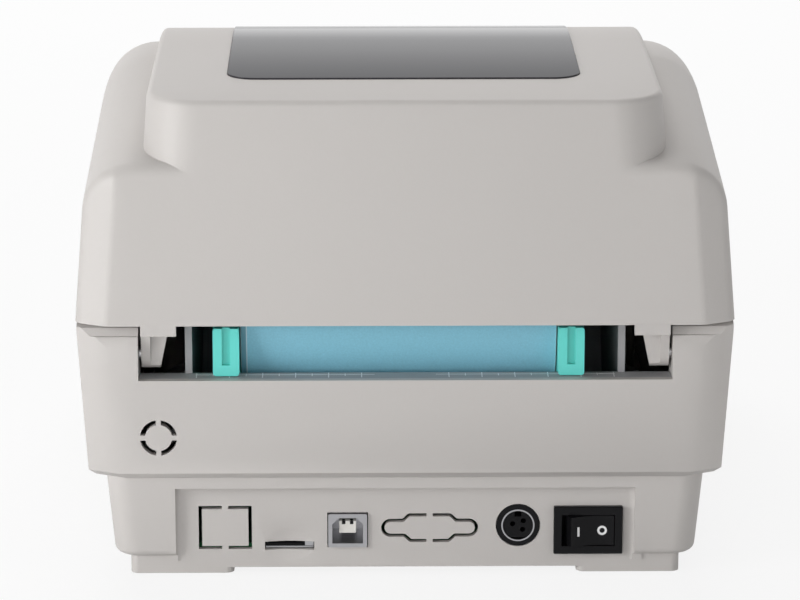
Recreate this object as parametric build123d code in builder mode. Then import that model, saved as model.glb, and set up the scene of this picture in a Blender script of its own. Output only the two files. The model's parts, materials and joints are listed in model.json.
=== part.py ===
from build123d import *

import os
from math import acos, atan2, cos, hypot, pi, radians, sin, sqrt, tan

os.makedirs("parts", exist_ok=True)

# Desktop label printer, millimetres. +Z is up, the front faces -Y and the connectors face +Y.
# The origin is on the table, under the middle of the printer.

# Overall size
width = 208.0
depth = 248.0
rear_y = depth / 2
button_proud = 1.0
front_y = -depth / 2 + button_proud
seam_half = width / 2

# Shell walls and the fits between mouldings
wall = 2.5
seam_gap = 0.4
slide_gap = 0.3
run_gap = 0.05

# Heights above the table, from the feet up
pad_proud = 0.5
tier_z = 2.4
base_z = 6.6
base_floor_z = 9.2
well_floor_z = 4.8
split_z = 33.6
bevel_z = 35.7
slot_floor_z = 66.2
band_z = 76.7
band_top_z = 80.1
seam_z = 84.0
cover_top_z = 155.0

# Bottom case
base_foot_half = 92.8
base_top_half = 95.3
base_foot_rear = 120.4
base_top_rear = 121.2
base_foot_front = -114.0
base_top_front = -118.0
base_corner = 8.0
tier_half = 87.8
tier_front = -108.0
tier_corner = 2.6
panel_y = 118.0
panel_wall = 2.2
recess_half = 73.2
recess_cove = 2.0
recess_top_z = 29.7
foot_block = (33.0, 30.0)
foot_pad = (24.0, 20.0)
pad_pocket = 1.2
well_half = 79.5
well_front = 4.0

# Middle case, also called the skirt
skirt_low_half = 100.6
skirt_bevel = 2.2
skirt_wall = 2.6
flange_width = 12.0
corner_x = 10.0
corner_y = 5.0
corner_round = 6.0
front_round = 16.0
slot_half = 84.1
band_slope = 60.0
ledge_step = 0.9
band_backing = 15.0

# Top cover
cover_lean = 8.5
side_lean = 6.0
shoulder_z = 133.5
wing_back_drop = 3.5
wing_swell = 8.6
wing_peak_y = 20.0
wing_peak_z = 149.0
wing_mid_y = -62.0
wing_mid_z = 134.0
wing_front_z = 92.0
crown_front_y = 25.0
crown_mid_y = -55.0
crown_mid_z = 141.0
crown_end_z = 92.0
crown_rear_drop = 1.2
crown_roll_drop = 0.3
crown_past_front = 5.0
wing_past_front = 6.0
wing_round = 17.0
shoulder_round = 5.0
column_half_low = 86.0
column_half_top = 80.5
column_corner = 17.0
column_edge = 2.0

# Window in the cover
window_half = 56.5
window_rear = 84.5
window_front = -78.0
window_corner = 9.0
window_lip = 3.0
window_thickness = 2.0
window_proud = 0.5
window_gap = 0.2

# Hinge of the cover
hinge_y = 115.0
hinge_z = 73.0
hinge_pin_r = 2.5
hinge_boss_r = 4.6
arm_outer = 83.2
arm_inner = 74.8
arm_tip_inner = 77.4
arm_flange = 2.9
pin_inner = 78.4
tab_inner = 72.0
tab_drop = 3.3
arm_root = 6.0
exit_half = 62.0
exit_top_z = 88.5

# Media: the loaded roll and its holders
media_x = 2.1
guide_gap = 100.6
roll_side_gap = 0.4
roll_r = 48.0
roll_y = 68.0
roll_z = 88.0
core_outer_r = 15.5
core_inner_r = 12.7
guide_travel = 6.0
guide_plate = 3.0
guide_block = 8.3
guide_block_top = 82.0
guide_rear_y = 119.7
guide_round = 1.0
tray_gap = 4.0
tray_wall = 2.2
tray_half = 67.4
tray_top_z = 92.0
tray_rear_y = 115.2

# Feed path and print mechanism
label_z = 83.0
platen_r = 8.0
platen_y = -98.0
platen_half = 56.0
platen_shaft_r = 3.0
frame_half = 62.0
frame_wall = 2.0
motor_size = 42.0
motor_length = 34.0
motor_y = -66.0
motor_z = 44.0
motor_shaft_r = 2.5
gear_module = 1.0
pinion_teeth = 12
idler_teeth = 30
platen_teeth = 20
gear_x = -71.0
gear_width = 4.0
latch_y = -60.0
latch_z = 73.0
latch_shaft_r = 3.0
hook_x = 80.0
hook_width = 4.0
catch_y = -66.0
catch_z = 90.0
catch_r = 2.0
sensor_y = -46.0
sensor_z = 73.0
sensor_rod_r = 1.5
head_pivot_y = -62.0
head_pivot_z = 95.0
head_pivot_r = 1.5
liner_z = 100.0
liner_thickness = 2.5
liner_screw_places = ((-62.0, -60.0), (62.0, -60.0), (-62.0, -100.0), (62.0, -100.0))
liner_screw_length = 7.0

# Print head, carried under the cover's frame
head_gap = 0.3
head_half = 57.0
head_rear = -84.0
head_front = -106.0
ceramic_thickness = 1.2
heatsink_height = 6.5
bracket_thickness = 1.5
spring_x = 35.0
spring_r = 4.0
spring_wire = 0.45
spring_turns = 5

# Sockets and the switch on the rear panel, as seen in the photograph
lan_x, lan_z, lan_width, lan_height = 57.5, 15.7, 17.0, 14.5
card_x, card_z, card_width, card_height = 37.0, 9.5, 15.8, 2.8
card_socket_depth = 14.0
card_socket_height = 2.6
card_lip_height = 4.2
card_mouth_height = 1.2
scoop_height = 12.1
scoop_depth = 1.2
usb_x, usb_z, usb_width, usb_height = 18.4, 14.8, 12.4, 11.1
serial_x, serial_z, serial_width, serial_height = -7.8, 15.4, 31.0, 9.7
serial_body_top, serial_body_low, serial_ear = 13.6, 12.6, 6.1
serial_slant = 1.9
power_x, power_z, power_r = -36.0, 16.2, 6.8
switch_x, switch_z, switch_width, switch_height = -58.4, 14.8, 22.0, 15.8
slit_width = 1.1
bridge_width = 2.0
round_x, round_z, round_r = 78.0, 47.5, 5.85
round_slit = 1.6

# Board behind the feed button
button_board_y = -114.0
button_board_thickness = 1.6
button_board_screws = ((seam_half - 33.5, 72.5), (seam_half - 20.5, 72.5))

# Main board
board_left, board_right = 76.0, -44.0
board_front, board_rear = 12.0, 114.0
board_top_z = 9.2
board_thickness = 1.6
board_boss_r = 3.2
capacitor_r = 6.3
capacitor_height = 18.0
capacitor_round = 0.8
capacitor_places = ((-28.0, 84.0), (-14.0, 84.0), (-28.0, 70.0))
chip_place = (30.0, 60.0)
chip_size = 20.0
chip_height = 1.6
chip_chamfer = 0.3
connector_runs = ((-20.0, 30.0), (20.0, 16.0), (50.0, 24.0))
connector_inset = 12.0
connector_width = 6.0
connector_height = 8.0
connector_wall = 0.8
connector_depth = 6.0

# Deck, racks and stud of the media guides
deck_start_y, deck_start_z = 17.9, 74.0
deck_knee_y, deck_knee_z = -50.0, 82.0
deck_front_y = -87.5
deck_narrow_y = -32.0
shelf_root = 0.5
guide_lift = 0.5
guide_disc_r = 34.0
guide_front_y = -20.0
guide_pinion_y = -6.0
guide_pinion_teeth = 16
guide_pinion_r = gear_module * guide_pinion_teeth / 2
rack_root = 1.25
rack_back = 5.0
rack_z = 66.5
rack_height = 5.0
rack_reach = 13.5
rack_teeth = 8
rack_first = 1
channel_width = 2.5
channel_depth = 1.5
channel_height = 12.0
stud_r = 2.5
stud_head_z = rack_z - 0.3
boss_top_z = 75.5
tray_bracket_ys = (36.0, 101.0)
tray_bracket_width = 12.0
tray_bracket_z = 36.2
tray_bracket_thick = 3.0
tray_screw_x = 92.0

# Mechanism frame and its fittings
frame_front_y = -107.5
frame_rear_y = -36.0
frame_top_z = 82.0
foot_flange = 10.0
bush_r = 5.5
bush_flange = 1.0
motor_boss_r = 11.0
motor_screw_pitch = 31.0
motor_shaft_end = -50.0
motor_cap = 9.0
motor_groove = 0.4
idler_web_outer = 11.5
idler_web_inner = 5.0
latch_shaft_end = seam_half - 5.0
head_pivot_end = 76.0
lever_hub_r = 5.0
tab_depth = 5.2
latch_spring_x = 85.0

# Mechanism plate in the cover
liner_half = 78.0
liner_front_y = -108.0
liner_rear_y = -40.0
ear_in = 72.0
ear_out = 76.0
switch_rib_x = 67.0
switch_rib_y = -83.0
switch_lever_z = 82.0
bracket_half = 69.0
bracket_rear_y = -58.0
head_spring_y = -96.0
sensor_travel = 40.0
sensor_nose_x = 8.0
sensor_nose_y = 4.0
sensor_block = 14.0

# Fittings of the connector panel
inlet_ring_r = 5.3
inlet_ring_wall = 0.45
inlet_core_r = 4.6
pin_hole_r = 0.85
pin_places = ((-1.7, 0.5), (1.7, 1.5), (1.5, -1.4))
usb_wall = 0.7
usb_rim = 1.3
usb_key = 2.1
usb_tongue_size = (5.4, 4.0)
usb_tongue_lift = 0.7
usb_proud = 1.0
usb_depth = 16.0
switch_depth = 20.0
switch_bezel = 1.8
rocker_pivot_y = 113.5
rocker_half = 8.0
rocker_top_half = 7.0
rocker_rise = 6.3
rocker_end_rise = 7.6
rocker_half_height = 4.9
rocker_tilt = 10.0
trunnion_r = 1.0

# Front bezel and tear bar
tear_z = 82.0
tear_front_y = -116.0
tear_tooth = 2.0
button_stem = 4.0

# Small fittings
screw_r = 1.45
screw_head_r = 2.8
screw_head_height = 1.8
ear_depth = 8.0
ear_height = 14.0
bezel_half = 63.0
bezel_low_z = 58.0
bezel_thickness = 3.0
button_x = seam_half - 27.0
button_z = 56.0
button_r = 6.0
button_travel = 0.8
lamp_z = 69.0
lamp_r = 1.6
post_sink = 3.6
board_screw_length = 4.0
frame_screw_length = 6.0
foot_screw_x = 57.0
frame_screw_ys = (-98.0, -46.0)
post_r = 4.0
post_x = 82.0
post_front_y = -66.0
post_rear_y = 60.0
lug_height = 4.4
pressure_angle = radians(20)
gear_backlash = 0.15
tab_z = 62.0
tab_length = 14.0
tab_height = 12.0
tab_room = 3.4


def plan_outline(half, rear, front, corner=corner_round):
    """Closed plan of the housing: faceted, softened rear corners and round front ones."""
    with BuildSketch() as plan:
        with BuildLine():
            Polyline(
                (half, front),
                (half, rear - corner_y),
                (half - corner_x, rear),
                (-half + corner_x, rear),
                (-half, rear - corner_y),
                (-half, front),
                close=True,
            )
        make_face()
        ends = plan.vertices().group_by(Axis.Y)
        fillet(ends[0], front_round)
        if corner:
            fillet(ends[-1] + ends[-2], corner)
    return plan.sketch


def wing_body(inset):
    """The full-width lower body, whose top sweeps up from the shoulders at the rear."""
    high_z = cover_top_z + 10
    side = seam_half - inset
    rear_low = rear_y - inset
    with BuildPart() as body:
        with BuildSketch(Plane.XY.offset(seam_z)):
            add(plan_outline(side, rear_low, front_y + inset, 0))
        with BuildSketch(Plane.XY.offset(high_z)):
            add(plan_outline(side - side_lean, rear_leaning(rear_low, high_z), front_y + inset, 0))
        loft(ruled=True)
        with BuildSketch(Plane.YZ):
            with BuildLine():
                back = Line((rear_y + 20, seam_z - 1), (rear_y + 20, shoulder_z - wing_back_drop - inset))
                rise = ThreePointArc(
                    back @ 1,
                    (roll_y, shoulder_z + wing_swell - inset),
                    (wing_peak_y, wing_peak_z - inset),
                )
                fall = ThreePointArc(
                    rise @ 1,
                    (wing_mid_y, wing_mid_z - inset),
                    (front_y - wing_past_front, wing_front_z - wing_past_front - inset),
                )
                nose = Line(fall @ 1, (front_y - wing_past_front, seam_z - 1))
                Line(nose @ 1, back @ 0)
            make_face()
        extrude(amount=width, both=True, mode=Mode.INTERSECT)
        top_faces = body.faces().filter_by(GeomType.CYLINDER).sort_by(SortBy.AREA)[-2:]
        rims = top_faces[0].edges() + top_faces[1].edges()
        sides = rims.filter_by(
            lambda edge: abs(edge.center().X) > seam_half / 2 and edge.center().Y < rear_y - 30
        )
        fillet(sides, wing_round - inset)
        rear = body.edges().filter_by(
            lambda edge: edge.center().Y > rear_y - 25
            and edge.center().Z > seam_z + 5
            and edge.length > 3
        )
        fillet(rear, shoulder_round - inset / 2)
    return body.part


def crown_side(lift):
    """Side view of the column, Y across and Z up, with its crown raised or lowered by lift."""
    crown_z = cover_top_z + lift
    with BuildSketch() as side:
        with BuildLine():
            back = Line((rear_y + 20, seam_z - 1), (rear_y + 20, crown_z - crown_rear_drop))
            over_roll = (roll_y + 12, crown_z - crown_roll_drop)
            flat = ThreePointArc(back @ 1, over_roll, (crown_front_y, crown_z))
            slope = ThreePointArc(
                flat @ 1,
                (crown_mid_y, crown_mid_z + lift),
                (front_y - crown_past_front, crown_end_z + lift),
            )
            drop = Line(slope @ 1, (front_y - crown_past_front, seam_z - 1))
            Line(drop @ 1, back @ 0)
        make_face()
    return side.sketch


def column_body(inset):
    """The raised column over the roll: round rear corners, flat top and one arc down to the front."""
    high_z = cover_top_z + 10
    with BuildPart() as column:
        for z, half in ((seam_z, column_half_low), (high_z, column_half_top)):
            rear = rear_leaning(rear_y - inset, z)
            front = front_y + inset
            with BuildSketch(Plane.XY.offset(z)) as section:
                with Locations((0, (rear + front) / 2)):
                    Rectangle(2 * (half - inset), rear - front)
                fillet(section.vertices().group_by(Axis.Y)[-1], column_corner)
                fillet(section.vertices().group_by(Axis.Y)[0], column_edge)
        loft(ruled=True)
        with BuildSketch(Plane.YZ):
            add(crown_side(-inset))
        extrude(amount=width, both=True, mode=Mode.INTERSECT)
        rims = column.edges().filter_by(
            lambda edge: edge.center().Z > crown_mid_z - 15
            and (abs(edge.center().X) > column_half_top - column_corner or edge.center().Y > rear_y - 20)
            and edge.length > 20
            and abs((edge % 0.5).Z) < 0.8
        )
        fillet(rims, column_edge)
    return column.part


def rear_leaning(y, z):
    """The rear face of the cover leans forward: its Y at height z."""
    return y - (z - seam_z) * cover_lean / (cover_top_z - seam_z)


def window_plan(grow):
    """The window's outline seen from above, made larger or smaller all round."""
    with BuildSketch() as plan:
        with Locations((0, (window_rear + window_front) / 2)):
            RectangleRounded(
                2 * (window_half + grow), window_rear - window_front + 2 * grow, window_corner + grow
            )
    return plan.sketch


def crown_layer(low, high, grow):
    """The layer between two heights above the crown's surface, inside the window's outline."""
    with BuildPart() as layer:
        with BuildSketch(Plane.YZ):
            add(crown_side(high))
            add(crown_side(low), mode=Mode.SUBTRACT)
        extrude(amount=window_half + 2 * window_corner, both=True)
        with BuildSketch(Plane.XY.offset(seam_z)):
            add(window_plan(grow))
        extrude(amount=cover_top_z, mode=Mode.INTERSECT)
    return layer.part


def screw_form(length):
    """A screw that stands on Z = 0: the head above, the shank below."""
    with BuildPart() as screw:
        Cylinder(screw_head_r, screw_head_height, align=(Align.CENTER, Align.CENTER, Align.MIN))
        fillet(screw.faces().sort_by(Axis.Z)[-1].edges(), screw_head_height / 3)
        Cylinder(screw_r, length, align=(Align.CENTER, Align.CENTER, Align.MAX))
    return screw.part


def involute(angle):
    """The involute function, in radians."""
    return tan(angle) - angle


def gear_outline(teeth, phase):
    """A spur gear's outline, with one tooth centred on the phase angle in radians."""
    pitch_r = gear_module * teeth / 2
    base_r = pitch_r * cos(pressure_angle)
    root_r = pitch_r - 1.25 * gear_module
    flank_start = max(base_r, root_r)
    half_at_pitch = (pi * gear_module / 2 - gear_backlash) / 2 / pitch_r

    def half_angle(r):
        return half_at_pitch + involute(pressure_angle) - involute(acos(min(1, base_r / r)))

    flank = [(root_r, half_angle(flank_start))]
    for r in (flank_start, pitch_r, pitch_r + gear_module):
        if r > root_r:
            flank.append((r, half_angle(r)))
    points = []
    for tooth in range(teeth):
        middle = phase + 2 * pi * tooth / teeth
        for r, half in flank:
            points.append((r * cos(middle - half), r * sin(middle - half)))
        for r, half in reversed(flank):
            points.append((r * cos(middle + half), r * sin(middle + half)))
    with BuildSketch() as outline:
        with BuildLine():
            Polyline(*points, close=True)
        make_face()
    return outline.sketch


def from_side(x):
    """A plane seen along X at the given place: local axes are Y and Z."""
    return Plane.YZ.offset(x)


def from_rear(y):
    """An upright plane at the given Y: local axes are X and Z, and its normal points to the front."""
    return Plane.XZ.offset(-y)


def knockout_slit(outline, bridge):
    """A slit that follows an outline, broken by an upright bridge at the middle."""
    with BuildSketch() as slit:
        add(outline)
        offset(amount=-slit_width, mode=Mode.SUBTRACT)
        Rectangle(bridge, 4 * slit_width + serial_width, mode=Mode.SUBTRACT)
    return slit.sketch


# Space cut out over the connector panel, with a cove where its walls meet the panel
with BuildPart() as recess_space:
    with BuildSketch(from_rear(base_top_rear + 1)):
        with Locations((0, recess_top_z / 2 - base_z)):
            Rectangle(2 * recess_half, recess_top_z + 2 * base_z)
    extrude(amount=base_top_rear + 1 - panel_y)
    fillet(recess_space.faces().sort_by(Axis.Y)[0].edges().filter_by(Axis.Z), recess_cove)

# Bottom case: an open tray with stepped feet and the recessed connector panel
base_rear_mid = (base_foot_rear + base_top_rear) / 2
with BuildPart() as base_case:
    for z, half, rear, front in (
        (base_z, base_foot_half, base_foot_rear, base_foot_front),
        (split_z, base_top_half, base_top_rear, base_top_front),
    ):
        with BuildSketch(Plane.XY.offset(z)):
            with Locations((0, (rear + front) / 2)):
                RectangleRounded(2 * half, rear - front, base_corner)
    loft()
    fillet(base_case.faces().sort_by(Axis.Z)[0].edges(), tier_corner)
    with BuildSketch(Plane.XY.offset(tier_z)):
        with Locations((0, (panel_y + tier_front) / 2)):
            RectangleRounded(2 * tier_half, panel_y - tier_front, tier_corner)
    extrude(amount=base_floor_z - tier_z)
    block_pitch_x = 2 * tier_half - foot_block[0]
    block_pitch_y = panel_y - tier_front - foot_block[1]
    with BuildSketch(Plane.XY.offset(pad_proud)):
        with Locations((0, (panel_y + tier_front) / 2)):
            with GridLocations(block_pitch_x, block_pitch_y, 2, 2):
                RectangleRounded(*foot_block, tier_corner)
    extrude(amount=tier_z - pad_proud + 1)
    with BuildSketch(Plane.XY.offset(pad_proud)):
        with Locations((0, (panel_y + tier_front) / 2)):
            with GridLocations(block_pitch_x, block_pitch_y, 2, 2):
                RectangleRounded(*foot_pad, tier_corner)
    extrude(amount=pad_pocket, mode=Mode.SUBTRACT)

    # Inside of the tray, with a deeper well under the main board
    for z, half, rear, front in (
        (base_floor_z, base_foot_half, base_foot_rear, base_foot_front),
        (split_z, base_top_half, base_top_rear, base_top_front),
    ):
        with BuildSketch(Plane.XY.offset(z)):
            with Locations((0, (rear + front) / 2)):
                RectangleRounded(2 * (half - wall), rear - front - 2 * wall, base_corner - wall)
    loft(mode=Mode.SUBTRACT)
    with BuildSketch(Plane.XY.offset(well_floor_z)):
        with Locations((0, (well_front + panel_y - panel_wall) / 2)):
            Rectangle(2 * well_half, panel_y - panel_wall - well_front)
    extrude(amount=base_floor_z - well_floor_z, mode=Mode.SUBTRACT)

    # Connector panel: a backing block, then the recess that is open below
    with BuildSketch(from_rear(panel_y - panel_wall)):
        with Locations((0, (well_floor_z + split_z) / 2)):
            Rectangle(2 * recess_half + 2 * wall, split_z - well_floor_z)
    extrude(amount=-(base_rear_mid - panel_y), mode=Mode.ADD)
    add(recess_space.part, mode=Mode.SUBTRACT)

    # Openings in the panel
    with BuildSketch() as lan_outline:
        Rectangle(lan_width, lan_height)
    with BuildSketch() as serial_outline:
        with BuildLine():
            Polyline(
                (-serial_body_low / 2, -serial_height / 2),
                (serial_body_low / 2, -serial_height / 2),
                (serial_body_low / 2 + serial_slant, -serial_ear / 2),
                (serial_body_top / 2 + serial_slant, serial_ear / 2),
                (serial_body_top / 2, serial_height / 2),
                (-serial_body_top / 2, serial_height / 2),
                (-serial_body_top / 2 - serial_slant, serial_ear / 2),
                (-serial_body_low / 2 - serial_slant, -serial_ear / 2),
                close=True,
            )
        make_face()
        SlotOverall(serial_width, serial_ear)
        fillet(serial_outline.vertices().group_by(Axis.Y)[0], slit_width)
        fillet(serial_outline.vertices().group_by(Axis.Y)[-1], slit_width)
    with BuildSketch(from_rear(panel_y + 1)):
        with Locations((lan_x, lan_z)):
            add(knockout_slit(lan_outline.sketch, bridge_width))
        with Locations((serial_x, serial_z)):
            add(knockout_slit(serial_outline.sketch, bridge_width))
        with Locations((card_x, card_z)):
            Rectangle(card_width, card_height)
        with Locations((usb_x, usb_z)):
            Rectangle(usb_width + 2 * slide_gap, usb_height + 2 * slide_gap)
        with Locations((power_x, power_z)):
            Circle(power_r + slide_gap)
        with Locations((switch_x, switch_z)):
            Rectangle(switch_width - 2, switch_height - 2)
    extrude(amount=panel_wall + 2, mode=Mode.SUBTRACT)

    # Thumb scoop round the card slot: a shallow round dish
    for index, share in enumerate((1.06, 0.9, 0.62, 0.2)):
        with BuildSketch(from_rear(panel_y + 0.2 - scoop_depth * index / 3)):
            with Locations((card_x, card_z + 0.3)):
                Ellipse(card_width / 2 * share, scoop_height / 2 * share)
    loft(mode=Mode.SUBTRACT)

    # Bosses for the board and for the case screws
    board_mid = ((board_left + board_right) / 2, (board_front + board_rear) / 2)
    board_pitch = (board_left - board_right - 10, board_rear - board_front - 34)
    with BuildSketch(Plane.XY.offset(well_floor_z)):
        with Locations(board_mid):
            with GridLocations(*board_pitch, 2, 2):
                Circle(board_boss_r)
    extrude(amount=board_top_z - board_thickness - well_floor_z)
    with Locations((*board_mid, board_top_z - board_thickness)):
        with GridLocations(*board_pitch, 2, 2):
            Hole(screw_r, depth=board_screw_length - board_thickness)
    post_mid_y = (post_front_y + post_rear_y) / 2
    with BuildSketch(Plane.XY.offset(well_floor_z)):
        with Locations((0, post_mid_y)):
            with GridLocations(2 * post_x, post_rear_y - post_front_y, 2, 2):
                Circle(post_r)
    extrude(amount=split_z - well_floor_z)
    with BuildSketch(Plane.XY.offset(tier_z)):
        with Locations((0, post_mid_y)):
            with GridLocations(2 * post_x, post_rear_y - post_front_y, 2, 2):
                Circle(screw_head_r + slide_gap)
    extrude(amount=post_sink, mode=Mode.SUBTRACT)
    with BuildSketch(Plane.XY.offset(tier_z)):
        with Locations((0, post_mid_y)):
            with GridLocations(2 * post_x, post_rear_y - post_front_y, 2, 2):
                Circle(screw_r)
    extrude(amount=split_z, mode=Mode.SUBTRACT)
    with Locations(*[(x, y, base_floor_z) for x in (-foot_screw_x, foot_screw_x) for y in frame_screw_ys]):
        Hole(screw_r, depth=frame_screw_length - frame_wall)
base_case.part.label = "base_case"
export_step(base_case.part, "parts/base_case.step")

with BuildPart() as rubber_feet:
    with BuildSketch():
        with Locations((0, (panel_y + tier_front) / 2)):
            with GridLocations(block_pitch_x, block_pitch_y, 2, 2):
                RectangleRounded(foot_pad[0], foot_pad[1], tier_corner)
    extrude(amount=pad_proud + pad_pocket)
rubber_feet.part.label = "rubber_feet"
export_step(rubber_feet.part, "parts/rubber_feet.step")


# Middle case: the skirt that rises from the bottom case to the cover's seam
case_top_z = seam_z - seam_gap
with BuildPart() as main_case:
    for z, half, drop in (
        (split_z, skirt_low_half, skirt_bevel),
        (bevel_z, skirt_low_half, 0),
    ):
        with BuildSketch(Plane.XY.offset(z)):
            add(plan_outline(half - drop, rear_y - drop, front_y + drop))
    loft(ruled=True)
    for z, half in ((bevel_z, skirt_low_half), (case_top_z, seam_half - 0.3)):
        with BuildSketch(Plane.XY.offset(z)):
            add(plan_outline(half, rear_y, front_y))
    loft(ruled=True)
    for z, half in (
        (bevel_z + 0.5, skirt_low_half - skirt_wall),
        (case_top_z + 1, seam_half - 0.3 - skirt_wall),
    ):
        with BuildSketch(Plane.XY.offset(z)):
            add(plan_outline(half, rear_y - skirt_wall, front_y + skirt_wall))
    loft(ruled=True, mode=Mode.SUBTRACT)
    with BuildSketch(Plane.XY.offset(split_z)):
        add(
            plan_outline(
                skirt_low_half - flange_width, rear_y - flange_width, front_y + flange_width
            )
        )
    extrude(amount=bevel_z - split_z + 1, mode=Mode.SUBTRACT)

    # Thick wall beside the slot, behind the band that is cut into it below
    for side in (-1, 1):
        with Locations((side * (slot_half + band_backing / 2), rear_y - skirt_wall / 2, case_top_z)):
            Box(
                band_backing, 2 * (rear_y - hinge_y), case_top_z - band_z + 2 * skirt_wall,
                align=(Align.CENTER, Align.CENTER, Align.MAX),
            )
    with BuildSketch(Plane.XY.offset(bevel_z)):
        Rectangle(4 * width, 4 * width)
        add(plan_outline(seam_half - 0.5, rear_y, front_y), mode=Mode.SUBTRACT)
    extrude(amount=seam_z, mode=Mode.SUBTRACT)

    # Rear slot for fan-fold media, and the sloped band that the cover's edge swings past
    with BuildSketch(from_rear(rear_y + 1)):
        with Locations((0, (slot_floor_z + seam_z + 5) / 2)):
            Rectangle(2 * slot_half, seam_z + 5 - slot_floor_z)
    extrude(amount=skirt_wall + 2.5, mode=Mode.SUBTRACT)
    run = tan(radians(90 - band_slope))
    rise_to_top = case_top_z + 1 - band_z
    with BuildSketch(from_side(-width)):
        with BuildLine():
            Polyline(
                (rear_y, band_z),
                (rear_y - rise_to_top * run, band_z + rise_to_top),
                (rear_y + 5, band_z + rise_to_top),
                (rear_y + 5, band_z),
                close=True,
            )
        make_face()
        with BuildLine():
            Polyline(
                (rear_y - (band_top_z - band_z) * run - ledge_step, band_top_z),
                (rear_y - rise_to_top * run - ledge_step, band_z + rise_to_top),
                (rear_y + 5, band_z + rise_to_top),
                (rear_y + 5, band_top_z),
                close=True,
            )
        make_face()
    extrude(amount=2 * width, mode=Mode.SUBTRACT)

    # The rear corners stay inside the circle that the cover's lower edge sweeps
    with BuildSketch(from_side(-width)):
        with Locations((hinge_y, band_z)):
            Rectangle(rear_y + 5 - hinge_y, seam_z - band_z, align=(Align.MIN, Align.MIN))
        with Locations((hinge_y, hinge_z)):
            Circle(case_top_z - hinge_z, mode=Mode.SUBTRACT)
    extrude(amount=2 * width, mode=Mode.SUBTRACT)

    # Hinge ears beside the slot
    for side in (-1, 1):
        with BuildSketch(from_side(side * (slot_half + ear_depth / 2) - ear_depth / 2)):
            with Locations((hinge_y - hinge_boss_r - 1, hinge_z + hinge_boss_r - ear_height)):
                Rectangle(
                    rear_y - 2 - hinge_y + hinge_boss_r + 1, ear_height, align=(Align.MIN, Align.MIN)
                )
        extrude(amount=ear_depth)
    with Locations(Location((0, hinge_y, hinge_z), (0, 90, 0))):
        Cylinder(hinge_pin_r, 2 * (slot_half + ear_depth - 2), mode=Mode.SUBTRACT)

    # Round knock-out in the rear wall
    with BuildSketch(from_rear(rear_y + 1)):
        with Locations((round_x, round_z)):
            Circle(round_r)
            Circle(round_r - round_slit, mode=Mode.SUBTRACT)
            Rectangle(round_slit, 3 * round_r, mode=Mode.SUBTRACT)
            Rectangle(3 * round_r, round_slit, mode=Mode.SUBTRACT)
    extrude(amount=skirt_wall + 2, mode=Mode.SUBTRACT)

    # Front: opening for the bezel, the feed button and its lamp
    with BuildSketch(from_rear(front_y + skirt_wall + 1)):
        with Locations((0, (bezel_low_z + seam_z + 5) / 2)):
            Rectangle(2 * bezel_half, seam_z + 5 - bezel_low_z)
        with Locations((button_x, button_z)):
            Circle(button_r + slide_gap)
        with Locations((button_x, lamp_z)):
            Circle(lamp_r)
    extrude(amount=skirt_wall + 3, mode=Mode.SUBTRACT)

    # Side windows for the release tabs
    for side in (-1, 1):
        with BuildSketch(from_side(side * (seam_half - 4) - 4)):
            with Locations((latch_y, tab_z)):
                RectangleRounded(tab_length + 2 * tab_room, tab_height + 2 * tab_room, 2)
        extrude(amount=8, mode=Mode.SUBTRACT)

    # Lugs over the posts of the bottom case, and posts for the button's board
    with BuildSketch(Plane.XY.offset(split_z)):
        for x in (-post_x, post_x):
            for y in (post_front_y, post_rear_y):
                with Locations((x, y)):
                    Circle(post_r + 1)
                with Locations((x + (6 if x > 0 else -6), y)):
                    Rectangle(12, 2 * post_r + 2)
    extrude(amount=lug_height)
    with Locations((0, post_mid_y)):
        with GridLocations(2 * post_x, post_rear_y - post_front_y, 2, 2):
            Cylinder(screw_r, 2 * (split_z + lug_height - 1), mode=Mode.SUBTRACT)
    with Locations(*[(x, y, split_z) for x in (-tray_screw_x, tray_screw_x) for y in tray_bracket_ys]):
        Cylinder(screw_r, 4 * skirt_bevel, mode=Mode.SUBTRACT)
    with BuildSketch(from_rear(front_y + skirt_wall - 1)):
        with Locations(*button_board_screws):
            Circle(post_r / 2 + 0.6)
    extrude(amount=-(button_board_y - front_y - skirt_wall + 1))
    with BuildSketch(from_rear(button_board_y)):
        with Locations(*button_board_screws):
            Circle(screw_r)
    extrude(amount=board_screw_length - button_board_thickness, mode=Mode.SUBTRACT)
main_case.part.label = "main_case"
export_step(main_case.part, "parts/main_case.step")


# Bosses in the cover that carry the mechanism plate
with BuildPart() as liner_bosses:
    with BuildSketch(Plane.XY.offset(liner_z + liner_thickness)):
        with Locations(*liner_screw_places):
            Circle(post_r)
    extrude(amount=cover_top_z - liner_z)
    add(column_body(wall / 2), mode=Mode.INTERSECT)
    with BuildSketch(Plane.XY.offset(liner_z)):
        with Locations(*liner_screw_places):
            Circle(screw_r)
    extrude(amount=liner_screw_length, mode=Mode.SUBTRACT)

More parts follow.
